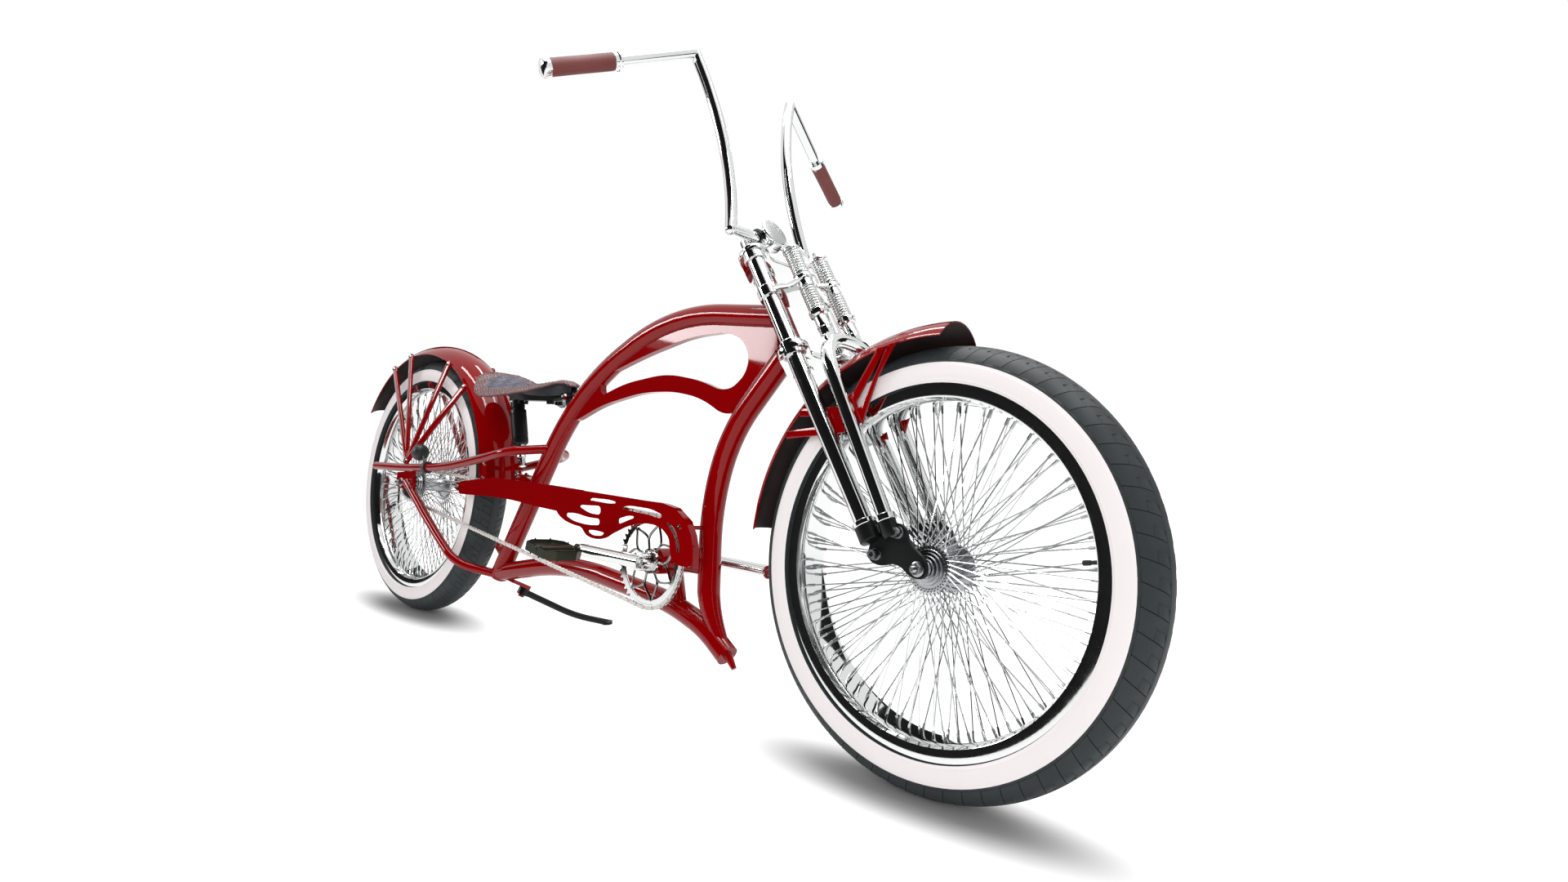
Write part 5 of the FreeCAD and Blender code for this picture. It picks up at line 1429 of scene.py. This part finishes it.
@dataclass
class Saddle:
    """Sprung leather saddle: padded top, laced rim, stitches, skirt, pan and shock."""

    voxel_m: float = 0.005
    puff_mm: float = 5.0
    thick: float = 13.0
    border: float = 25.0
    roll: float = 12.0
    taper: float = 30.0
    cloth_frames: int = 20
    pressure: float = 4.0
    skirt_steps: int = 16

    def outline(self) -> list[Vector]:
        """The saddle's outline seen from above, from the tail round the left side."""
        half = [(337.0, 0.0), (339.0, 40.0), (350.0, 78.0), (376.0, 108.0), (415.0, 119.0),
                (455.0, 108.0), (490.0, 88.0), (530.0, 61.0), (572.0, 40.0), (612.0, 27.0),
                (638.0, 18.0), (649.0, 0.0)]
        points = [Vector((x, y, 0.0)) for x, y in mirrored(half)]
        return smooth_line(points + [points[0]], 5)[:-1]

    def along(self, x: float, curve: Curve) -> float:
        """One of the saddle's lengthwise curves.

        Args:
            x: place along the bicycle.
            curve: which curve.

        Returns:
            The curve's value there, in millimetres.
        """
        # columns: x, height of the ridge, fall from the ridge to the wing's rim, half width
        table = ((337.0, 320.0, 0.0, 10.0), (350.0, 315.0, 8.0, 78.0), (376.0, 306.0, 31.0, 108.0),
                 (400.0, 299.0, 42.0, 116.0), (430.0, 293.0, 44.0, 117.0),
                 (460.0, 291.0, 40.0, 106.0), (495.0, 291.0, 32.0, 84.0),
                 (530.0, 293.0, 24.0, 61.0), (570.0, 298.0, 16.0, 41.0), (605.0, 302.0, 9.0, 29.0),
                 (630.0, 300.0, 5.0, 21.0), (650.0, 290.0, 2.0, 8.0))
        row = next((i for i in range(1, len(table)) if x <= table[i][0]), len(table) - 1)
        low, high = table[row - 1], table[row]
        share = min(max((x - low[0]) / (high[0] - low[0]), 0.0), 1.0)
        share = share * share * (3 - 2 * share)
        return low[curve.value] + (high[curve.value] - low[curve.value]) * share

    def height(self, x: float, y: float) -> float:
        """Height of the saddle's top, its wings drooping from a ridge that rises to the tail.

        Args:
            x: place along the bicycle.
            y: place across it.

        Returns:
            The height of the top in upright millimetres.
        """
        settled, curl = 4.0, 2.2
        out = min(abs(y) / self.along(x, Curve.HALF_WIDTH), 1.0)
        return self.along(x, Curve.RIDGE) - settled - self.along(x, Curve.FALL) * out ** curl

    def rim_distance(self, x: float, y: float, outline: Sequence[Vector]) -> float:
        """Distance from a point to the outline."""
        return min(math.hypot(x - point.x, y - point.y) for point in outline)

    def leather(self) -> bpy.types.Object:
        """The padded top, stuffed by a short cloth simulation.

        Returns:
            The padded piece.
        """
        outline = self.outline()
        bm = bmesh.new()
        prism(bm, outline, Vector((0.0, 0.0, -self.thick)), 3.0)
        bmesh.ops.triangulate(bm, faces=[face for face in bm.faces if len(face.verts) > 4])
        piece = place_piece(bm, "saddle_leather", "frame", (SADDLE_TOP, SADDLE_EDGE, SADDLE_SKIRT),
                            ("saddle",), 50.0)
        even = piece.modifiers.new("even_hide", "REMESH")
        even.mode = "VOXEL"
        even.voxel_size = self.voxel_m
        settle(piece)
        for vert in piece.data.vertices:
            place = from_parked(vert.co)
            rim = self.rim_distance(place.x, place.y, outline)
            place.z *= 0.5 + 0.5 * min(rim / self.taper, 1.0)
            place.z += self.height(place.x, place.y)
            vert.co = PARKED @ place
        self.stuff(piece)
        finer = piece.modifiers.new("finer_hide", "SUBSURF")
        finer.levels = finer.render_levels = 1
        settle(piece)
        for face in piece.data.polygons:
            place = from_parked(face.center)
            up = (UPRIGHT.to_3x3() @ face.normal).normalized().z
            inside = self.rim_distance(place.x, place.y, outline)
            if up < -0.1 or (up < 0.35 and inside < self.roll):
                face.material_index = 2
            else:
                face.material_index = int(inside < self.border)
        return piece

    def stuff(self, piece: bpy.types.Object) -> None:
        """Puffs the pad with cloth pressure, its underside held, and caps the swelling.

        Args:
            piece: the evenly meshed pad.
        """
        home = [vert.co.copy() for vert in piece.data.vertices]
        held = piece.vertex_groups.new(name="held_on_pan")
        for vert in piece.data.vertices:
            if (UPRIGHT.to_3x3() @ vert.normal).normalized().z < 0.1:
                held.add([vert.index], 1.0, "REPLACE")
        cloth = piece.modifiers.new("stuffing", "CLOTH")
        cloth.settings.vertex_group_mass = "held_on_pan"
        cloth.settings.use_pressure = True
        cloth.settings.uniform_pressure_force = self.pressure
        cloth.settings.effector_weights.gravity = 0.0
        scene = bpy.context.scene
        for number in range(self.cloth_frames):
            scene.frame_set(number + 1)
        settle(piece)
        scene.frame_set(1)
        limit = self.puff_mm * MILLIMETRE
        for vert, start in zip(piece.data.vertices, home):
            move = vert.co - start
            if move.length > limit:
                vert.co = start + move.normalized() * limit
        piece.vertex_groups.clear()

    def rim(self, piece: bpy.types.Object) -> None:
        """Lace round the rim, and two rows of stitches inside it.

        Args:
            piece: the padded top that they lie on.
        """
        outline = self.outline()
        skin = BVHTree.FromObject(piece, bpy.context.evaluated_depsgraph_get())
        lace, thread = bmesh.new(), bmesh.new()
        edge = []
        for point in outline:
            spot = Vector((point.x, point.y, self.height(point.x, point.y) - 1.6))
            edge.append(from_parked(skin.find_nearest(PARKED @ spot)[0]))
        swept(lace, edge, 2.0, 8, cyclic=True)
        middle = Vector((440.0, 0.0, 0.0))
        down = -(PARKED.to_3x3() @ UP).normalized()
        # columns: how far inside the rim a row lies, length of its stitches
        for inset, length in ((5.0, 5.2), (self.border, 3.2)):
            ring = []
            count = len(outline)
            for index, point in enumerate(outline):
                along = outline[(index + 1) % count] - outline[index - 1]
                inward = Vector((-along.y, along.x, 0.0)).normalized()
                if inward.dot(middle - point) < 0:
                    inward = -inward
                ring.append(point + inward * min(inset, 0.75 * max(abs(point.y), 8.0)))
            walked = 0.0
            for here, there in zip(ring, ring[1:] + ring[:1]):
                walked += (there - here).length
                if walked < length * 1.7:
                    continue
                walked = 0.0
                way = (there - here).normalized()
                ends = []
                for step in (-0.5, 0.0, 0.5):
                    spot = here + way * (length * step)
                    top = PARKED @ Vector((spot.x, spot.y, 340.0))
                    hit = skin.ray_cast(top, down)[0]
                    if hit:
                        ends.append(from_parked(hit))
                if len(ends) == 3:
                    ends[1].z += 0.9
                    swept(thread, ends, 0.75, 4)
        place_piece(lace, "saddle_rim_lace", "frame", (SADDLE_EDGE,), (), 60.0)
        place_piece(thread, "saddle_stitches", "frame", (THREAD,), (), 60.0)

    def skirt(self) -> None:
        """Black hide skirt that hangs from the nose's rim down to the pan on both sides."""
        back, reach, pan_top, thick = 452.0, 190.0, 262.0, 3.0
        bm = bmesh.new()
        for side in SIDES:
            rows = []
            for step in range(self.skirt_steps + 1):
                x = back + reach * step / self.skirt_steps
                half = self.along(x, Curve.HALF_WIDTH) * 0.86
                top = self.height(x, half) - 3.0
                sag = 6.0 * math.sin(math.pi * step / self.skirt_steps)
                low = max(pan_top, top - 30.0) - sag
                inner = half - thick
                rows.append([bm.verts.new((x, side * y, z)) for y, z in
                             ((half, top), (half * 0.9, low), (inner * 0.9, low), (inner, top))])
            for here, there in zip(rows, rows[1:]):
                for index in range(4):
                    after = (index + 1) % 4
                    bm.faces.new((here[index], here[after], there[after], there[index]))
            bm.faces.new(rows[0])
            bm.faces.new(list(reversed(rows[-1])))
        place_piece(bm, "saddle_skirt", "frame", (SADDLE_SKIRT,), (), 50.0)

    def shock(self) -> None:
        """Black shock can with its bands, over a bright rod and foot."""
        top = Vector((402.0, 0.0, 243.0))
        foot = Vector((461.0, 0.0, 62.0))
        way = (foot - top).normalized()
        reach = (foot - top).length
        bm = bmesh.new()
        lathe(bm, [(0.0, 0.0), (0.0, 14.0), (2.0, 17.4), (18.0, 17.4), (19.0, 15.6), (23.0, 15.6),
                   (24.0, 19.6), (25.0, 20.0), (36.0, 20.0), (36.6, 19.2), (39.0, 19.2),
                   (39.6, 20.0), (92.0, 20.0), (92.8, 19.2), (95.2, 19.2), (96.0, 20.0),
                   (108.0, 20.0), (112.0, 18.6), (115.0, 15.0), (115.0, 0.0)], top, way, 48)
        place_piece(bm, "shock_can", "frame", (BLACK,), ("shock",), 30.0)
        bm = bmesh.new()
        lathe(bm, [(114.0, 0.0), (114.0, 10.6), (reach - 46.0, 10.6), (reach - 45.0, 11.0),
                   (reach - 41.0, 11.0), (reach - 40.0, 9.4), (reach - 19.0, 9.0),
                   (reach - 18.5, 0.0)], top, way, 32)
        for side in (-1.0, 1.0):
            fastener(bm, foot + Vector((-4.0, side * 12.0, -4.0)), LEFT * side, 7.6, 5.0)
        place_piece(bm, "shock_rod", "frame", (CHROME,), (), 30.0)

    def build(self) -> None:
        """Builds the saddle and what carries it."""
        piece = self.leather()
        self.rim(piece)
        self.skirt()
        self.shock()
        polish_node("saddle_frame", "frame", BLACK, 30.0, 1.5)
        polish_node("shock_bracket", "frame", ENAMEL, 30.0, 1.5)
        bolts = [Bolt(Vector((640.0, side * 22.0, 256.0)), LEFT * side, 8.6, 6.0)
                 for side in SIDES]
        bolt_set("saddle_nose_bolt", "frame", bolts, CHROME)
        bolts = [Bolt(Vector((x, side * 12.0, 247.0)), -UP, 5.4, 9.0, Head.HEX)
                 for x in (560.0, 576.0, 424.0) for side in SIDES]
        bolt_set("saddle_pan_bolts", "frame", bolts, BLACK)


@dataclass
class Frame:
    """The enamelled frame with its stays, rear fender, lamp and side stand."""

    smooth_nodes: tuple[str, ...] = ("head_tube", "arch_tube", "down_tube", "lower_tube",
                                     "bottom_bracket", "upper_stays", "lower_stays")
    plate_nodes: tuple[str, ...] = ("web_plate", "dropouts", "chain_guard", "stand_bracket")
    stay_y: float = 86.0
    brace_turns: tuple[float, ...] = (118.0, 102.0, 66.0, 48.0)
    fender_radius: float = 364.0

    def lamp(self) -> None:
        """Round black lamp on a banded stem, its lens to the rear."""
        bm = bmesh.new()
        centre = Vector((112.0, -90.0, 88.0))
        back = Vector((-1.0, 0.0, 0.0))
        lathe(bm, [(0.0, 0.0), (0.4, 8.0), (2.0, 14.0), (6.0, 19.0), (12.0, 21.4), (18.0, 22.0),
                   (26.0, 22.0), (28.0, 21.0), (28.0, 19.4), (25.0, 19.4)], centre, back, 48)
        swept(bm, smooth_line([Vector((130.0, -90.0, 58.0)), Vector((122.0, -90.0, 66.0)),
                               Vector((108.0, -90.0, 78.0))], 4), 4.6, 12)
        lathe(bm, [(-7.0, 11.2), (-7.0, 15.6), (7.0, 15.6), (7.0, 11.2)],
              Vector((132.0, -86.0, 50.0)), Vector((1.0, 0.0, 0.08)), 36, closed=True)
        place_piece(bm, "lamp_housing", "frame", (NYLON,), ("reflector",), 34.0)
        bm = bmesh.new()
        rings = [(25.0, 19.4)]
        for step in range(6):
            radius = 19.0 - 3.2 * step
            rings += [(26.6, radius - 0.8), (25.4, radius - 2.4)]
        lathe(bm, rings + [(26.4, 0.0)], centre, back, 48)
        place_piece(bm, "lamp_lens", "frame", (LENS,), (), 30.0)

    def hardware(self) -> None:
        """Chain tug bolts, stay bolts, guard bolts and fender bolts."""
        bolts = []
        for side in SIDES:
            y = side * (self.stay_y + 4.0)
            for x, z, radius, head in ((14.0, 60.0, 7.0, Head.ROUND), (52.0, 8.0, 5.0, Head.HEX),
                                       (60.0, -12.0, 5.0, Head.HEX)):
                bolts.append(Bolt(Vector((x, y, z)), LEFT * side, radius, 4.0, head))
            for angle in self.brace_turns:
                at = round_axle(self.fender_radius, math.radians(angle), side * 68.4)
                bolts.append(Bolt(at, LEFT * side, 4.6, 3.4))
        for x, z in ((412.0, 46.0), (412.0, 78.0), (1151.0, 4.0)):
            bolts.append(Bolt(Vector((x, -79.2, z)), -LEFT, 4.6, 3.0))
        bolt_set("frame_bolts", "frame", bolts, CHROME)

    def braces(self) -> None:
        """Flat braces from the stays' tabs up to the rear fender's edge."""
        bm = bmesh.new()
        for side in SIDES:
            tab = Vector((14.0, side * (self.stay_y + 2.0), 60.0))
            for angle in self.brace_turns:
                edge = round_axle(self.fender_radius, math.radians(angle), side * 65.4)
                strap(bm, tab, edge, 18.0, 6.4)
            strap(bm, tab, tab - UP * 22.0, 17.0, 7.0)
        place_piece(bm, "rear_fender_braces", "frame", (ENAMEL,), ("rear_fender_struts",), 24.0)

    def build(self) -> None:
        """Dresses the frame's nodes."""
        for node in self.smooth_nodes:
            polish_node(node, "frame", ENAMEL, 28.0)
        for node in self.plate_nodes:
            polish_node(node, "frame", ENAMEL, 30.0, 0.7)
        # the fender's inside takes the dull enamel darkened almost to black: painted shade under
        # the fender
        polish_node("rear_fender", "frame", (ENAMEL, DUSTY_SHADED_UNDERSIDE), 30.0, 0.0,
                    lambda centre, normal: int(normal.dot(centre) < 0.0))
        rolled_edges("rear_fender_beads", "frame", REAR_HUB, 62.0, 2.0, 149.0)
        polish_node("headset_cups", "frame", CHROME)
        axle_set("rear_axle_nuts", "frame", "rear_axle", REAR_HUB, 90.0)
        self.lamp()
        self.hardware()
        self.braces()
        polish_node("side_stand", "side_stand", BLACK)


@dataclass
class Drive:
    """Cranks, ring, sprocket, chain and pedals."""

    ring_teeth: int = 46
    sprocket_teeth: int = 22
    crank_length: float = 175.0
    pedal_y: float = 166.0
    cage_shift: float = 8.0
    tilt: float = 9.0
    lobes: int = 7
    tooth_half: float = 1.1
    arm_wire: float = 2.6

    def pitch_radius(self, teeth: int) -> float:
        """Radius of the chain's pins round a gear."""
        return CHAIN_PITCH / (2 * math.sin(math.pi / teeth))

    def toothed_plate(self, bm: bmesh.types.BMesh, teeth: int, centre: Vector, inner: float,
                      half: float) -> None:
        """Adds a toothed ring.

        Args:
            bm: the mesh to add to.
            teeth: number of teeth.
            centre: its centre.
            inner: radius of its bore.
            half: half its thickness.
        """
        pitch = self.pitch_radius(teeth)
        # columns: share of a tooth's turn, radius from the pins' circle
        form = ((0.0, -4.1), (0.2, -3.9), (0.33, 0.4), (0.44, 3.2), (0.56, 3.2), (0.67, 0.4),
                (0.8, -3.9))
        before = set(bm.faces)
        outer, bore = [], []
        for tooth in range(teeth):
            for share, offset in form:
                turn = 2 * math.pi * (tooth + share) / teeth
                way = round_axle(1.0, turn)
                outer.append(bm.verts.new(centre + way * (pitch + offset) - LEFT * half))
                bore.append(bm.verts.new(centre + way * inner - LEFT * half))
        rims = [bm.edges.new((loop[i], loop[(i + 1) % len(loop)]))
                for loop in (outer, bore) for i in range(len(outer))]
        bmesh.ops.bridge_loops(bm, edges=rims)
        pull(bm, [face for face in bm.faces if face not in before], LEFT * (2 * half))

    def ring(self) -> None:
        """Chainring: toothed rim on lace arms that fork and meet again at the rim."""
        bm = bmesh.new()
        centre = CRANK_CENTRE - LEFT * RING_Y
        pitch = self.pitch_radius(self.ring_teeth)
        self.toothed_plate(bm, self.ring_teeth, centre, pitch - 12.0, self.tooth_half)
        inner = pitch - 15.5
        lathe(bm, [(-2.0, inner), (-2.0, pitch - 8.0), (-1.2, pitch - 6.8), (1.2, pitch - 6.8),
                   (2.0, pitch - 8.0), (2.0, inner), (1.4, inner - 0.8), (-1.4, inner - 0.8)],
              centre, LEFT, 138, closed=True)
        lathe(bm, [(-2.0, 12.0), (-2.0, 25.0), (2.0, 25.0), (2.0, 12.0)], centre, LEFT, 48,
              closed=True)
        for lobe in range(self.lobes):
            turn = 2 * math.pi * lobe / self.lobes

            def spot(radius: float, shift: float = 0.0) -> Vector:
                return centre + round_axle(1.0, turn + shift) * radius

            swept(bm, [spot(20.0), spot(34.0), spot(47.0)], self.arm_wire, 10, material=1)
            for side in SIDES:
                line = [spot(44.0, 0.0), spot(52.0, side * 0.10), spot(62.0, side * 0.27),
                        spot(71.0, side * 0.39), spot(inner + 2.0, side * 0.43)]
                swept(bm, smooth_line(line, 5), self.arm_wire, 10, material=1)
        place_piece(bm, "chainring_lace", "crank", (CHROME, DARK_CHROME), ("chainring",), 30.0)

    def sprocket(self) -> None:
        """Rear sprocket with its carrier on the hub."""
        bm = bmesh.new()
        centre = REAR_HUB - LEFT * RING_Y
        self.toothed_plate(bm, self.sprocket_teeth, centre, 30.0, self.tooth_half)
        lathe(bm, [(-2.0, 19.0), (-2.0, 34.0), (2.0, 34.0), (2.0, 19.0)], centre, LEFT, 48,
              closed=True)
        lathe(bm, [(2.0, 6.0), (2.0, 20.0), (12.0, 20.0), (14.0, 17.0), (22.0, 17.0),
                   (22.0, 6.0)], centre, LEFT, 40, closed=True)
        lathe(bm, [(-2.4, 6.0), (-2.4, 14.0), (-1.0, 20.0), (1.0, 20.0), (1.0, 6.0)], centre, LEFT,
              40, closed=True)
        place_piece(bm, "rear_sprocket", "rear_wheel", (DARK_CHROME,), (), 30.0)

    def loop_spots(self) -> list[tuple[Vector, float, bool]]:
        """Places of the chain's pins.

        Returns:
            For each pin its place, the chain's direction there and whether it lies on a gear.
        """
        big, small = (self.pitch_radius(count) for count in (self.ring_teeth, self.sprocket_teeth))
        run = math.hypot(CRANK_CENTRE.x, CRANK_CENTRE.z)
        slope = math.atan2(CRANK_CENTRE.z, CRANK_CENTRE.x)
        lean = math.asin((big - small) / run)
        straight = run * math.cos(lean)
        front_arc = big * (math.pi + 2 * lean)
        rear_arc = small * (math.pi - 2 * lean)
        total = 2 * straight + front_arc + rear_arc
        count = 2 * round(total / CHAIN_PITCH / 2)
        up = slope + math.pi / 2 + lean
        down = slope - math.pi / 2 - lean
        spots = []
        for index in range(count):
            walked = total * index / count
            if walked < straight:
                way = slope + lean
                place = round_axle(1.0, up) * small + round_axle(1.0, way) * walked
                spots.append((place, way, False))
            elif walked < straight + front_arc:
                turn = up - (walked - straight) / big
                spots.append((CRANK_CENTRE + round_axle(1.0, turn) * big, turn - math.pi / 2, True))
            elif walked < 2 * straight + front_arc:
                way = slope - lean + math.pi
                place = (CRANK_CENTRE + round_axle(1.0, down) * big
                         + round_axle(1.0, way) * (walked - straight - front_arc))
                spots.append((place, way, False))
            else:
                turn = down - (walked - 2 * straight - front_arc) / small
                spots.append((round_axle(1.0, turn) * small, turn - math.pi / 2, True))
        return [(Vector((place.x, -RING_Y, place.z)), way, geared) for place, way, geared in spots]

    def link_plate(self, half: float, shift: float, waist: float) -> bpy.types.Mesh:
        """One pair of link plates, a pitch long, along X from the first pin.

        Args:
            half: half height at the pins.
            shift: where the plates' inner faces stand, each side of the middle.
            waist: half height between the pins.

        Returns:
            The mesh of the pair.
        """
        bm = bmesh.new()
        corners = [round_axle(half, math.radians(turn))
                   for turn in (90.0, 135.0, 180.0, 225.0, 270.0)]
        corners.append(Vector((CHAIN_PITCH / 2, 0.0, -waist)))
        for turn in (270.0, 315.0, 0.0, 45.0, 90.0):
            angle = math.radians(turn)
            corners.append(Vector((CHAIN_PITCH + half * math.cos(angle), 0.0,
                                   half * math.sin(angle))))
        corners.append(Vector((CHAIN_PITCH / 2, 0.0, waist)))
        for side in SIDES:
            prism(bm, [corner + LEFT * (side * shift) for corner in corners], LEFT * (side * 0.95))
        return mesh_of(bm, "link")

    def chain(self) -> None:
        """Roller chain: outer and inner plates by turns, rollers on the free runs, pin heads."""
        bm = bmesh.new()
        outer = self.link_plate(4.1, 2.95, 3.0)
        inner = self.link_plate(4.1, 1.95, 3.0)
        spots = self.loop_spots()
        for index, (place, _, _) in enumerate(spots):
            there = spots[(index + 1) % len(spots)][0]
            run = there - place
            turn = Matrix.Rotation(-math.atan2(run.z, run.x), 4, "Y")
            bmesh.ops.transform(bm, matrix=Matrix.Translation(place) @ turn,
                                verts=add_mesh(bm, outer if index % 2 else inner))
        for place, _, geared in spots:
            if geared:
                for side in SIDES:
                    lathe(bm, [(3.8, 0.0), (3.8, 1.5), (4.0, 1.5)], place, LEFT * side, 8)
            else:
                lathe(bm, [(-1.95, 0.0), (-1.95, 3.7), (1.95, 3.7), (1.95, 0.0)], place, LEFT, 10)
        bpy.data.meshes.remove(outer)
        bpy.data.meshes.remove(inner)
        place_piece(bm, "chain_links", "frame", (NICKEL,), ("chain",), 30.0)

    def pedal(self, side: float, name: str) -> None:
        """Platform pedal: waisted cage with studs, cross ribs and a spindle barrel.

        Args:
            side: one on the left, minus one on the right.
            name: left or right.
        """
        spindle = CRANK_CENTRE + Vector((side * self.crank_length, side * self.pedal_y, 0.0))
        centre = spindle + LEFT * (side * self.cage_shift)
        inward = LEFT * -side
        bm = bmesh.new()
        outline = [(-47.0, -24.0), (-33.0, -45.0), (33.0, -45.0), (47.0, -24.0), (47.0, 24.0),
                   (33.0, 45.0), (-33.0, 45.0), (-47.0, 24.0)]
        corners = [centre + Vector((x, y, 9.0)) for x, y in outline]
        face = bm.faces.new([bm.verts.new(corner) for corner in corners])
        bmesh.ops.inset_region(bm, faces=[face], thickness=5.0, use_even_offset=True,
                               use_boundary=True)
        bmesh.ops.delete(bm, geom=[face], context="FACES_ONLY")
        pull(bm, list(bm.faces), UP * -18.0)
        for way in SIDES:
            for x in (-44.5, -15.0, 15.0, 44.5):
                for y in ((-18.0, 18.0) if abs(x) > 40 else (-42.5, 42.5)):
                    fastener(bm, centre + Vector((x, y, way * 8.6)), UP * way, 1.9, 3.6,
                             Head.HEX)
        rib = ((-1.6, -42.0), (1.6, -42.0), (1.6, 42.0), (-1.6, 42.0))
        for middle in (-24.0, 24.0):
            prism(bm, [centre + Vector((middle + x, y, -5.0)) for x, y in rib], UP * 10.0)
        lathe(bm, [(-42.0, 0.0), (-42.0, 8.0), (-40.0, 9.6), (-14.0, 8.2), (14.0, 8.2),
                   (40.0, 9.6), (42.0, 8.0), (42.0, 0.0)], centre, LEFT, 24)
        lathe(bm, [(-46.2, 0.0), (-46.2, 7.0), (-45.0, 8.0), (-42.0, 8.0)], centre, inward, 24)
        bmesh.ops.rotate(bm, cent=centre, matrix=Matrix.Rotation(math.radians(self.tilt), 3, "Y"),
                         verts=bm.verts)
        place_piece(bm, "pedal_cage_" + name, "pedal_" + name, (PEDAL_CAGE,), ("pedal_" + name,),
                    30.0)
        bm = bmesh.new()
        lathe(bm, [(40.0, 0.0), (40.0, 6.0), (81.0, 6.0), (81.4, 5.4), (81.4, 0.0)],
              centre, inward, 24)
        fastener(bm, centre + inward * 45.0, inward, 8.4, 4.0, Head.HEX)
        place_piece(bm, "pedal_spindle_" + name, "pedal_" + name, (CHROME,), (), 30.0)

    def crank_hardware(self) -> None:
        """Pinch bolts on the arms' clamp bosses."""
        bolts = []
        for side in SIDES:
            boss = CRANK_CENTRE + LEFT * (side * 84.0)
            for y in (-6.0, 6.0):
                bolts.append(Bolt(boss + Vector((0.0, y, 18.2)), UP, 3.6, 3.2))
        bolt_set("crank_pinch_bolts", "crank", bolts, CHROME)

    def build(self) -> None:
        """Builds the whole drive."""
        polish_node("crankset", "crank", CHROME, 30.0)
        self.crank_hardware()
        self.ring()
        self.sprocket()
        self.chain()
        for side, name in zip(SIDES, ("left", "right")):
            self.pedal(side, name)


def main() -> None:
    """Builds every sub-assembly."""
    logging.basicConfig(level=logging.INFO, format="%(name)s %(message)s")
    Studio(PHOTO_CAMERA).build()
    Wheel("front", FRONT_HUB, "front_wheel", valve_turn=10.0).build()
    Wheel("rear", REAR_HUB, "rear_wheel", valve_turn=200.0).build()
    Springer().build()
    Frame().build()
    Saddle().build()
    Drive().build()


if __name__ == "__main__":
    main()
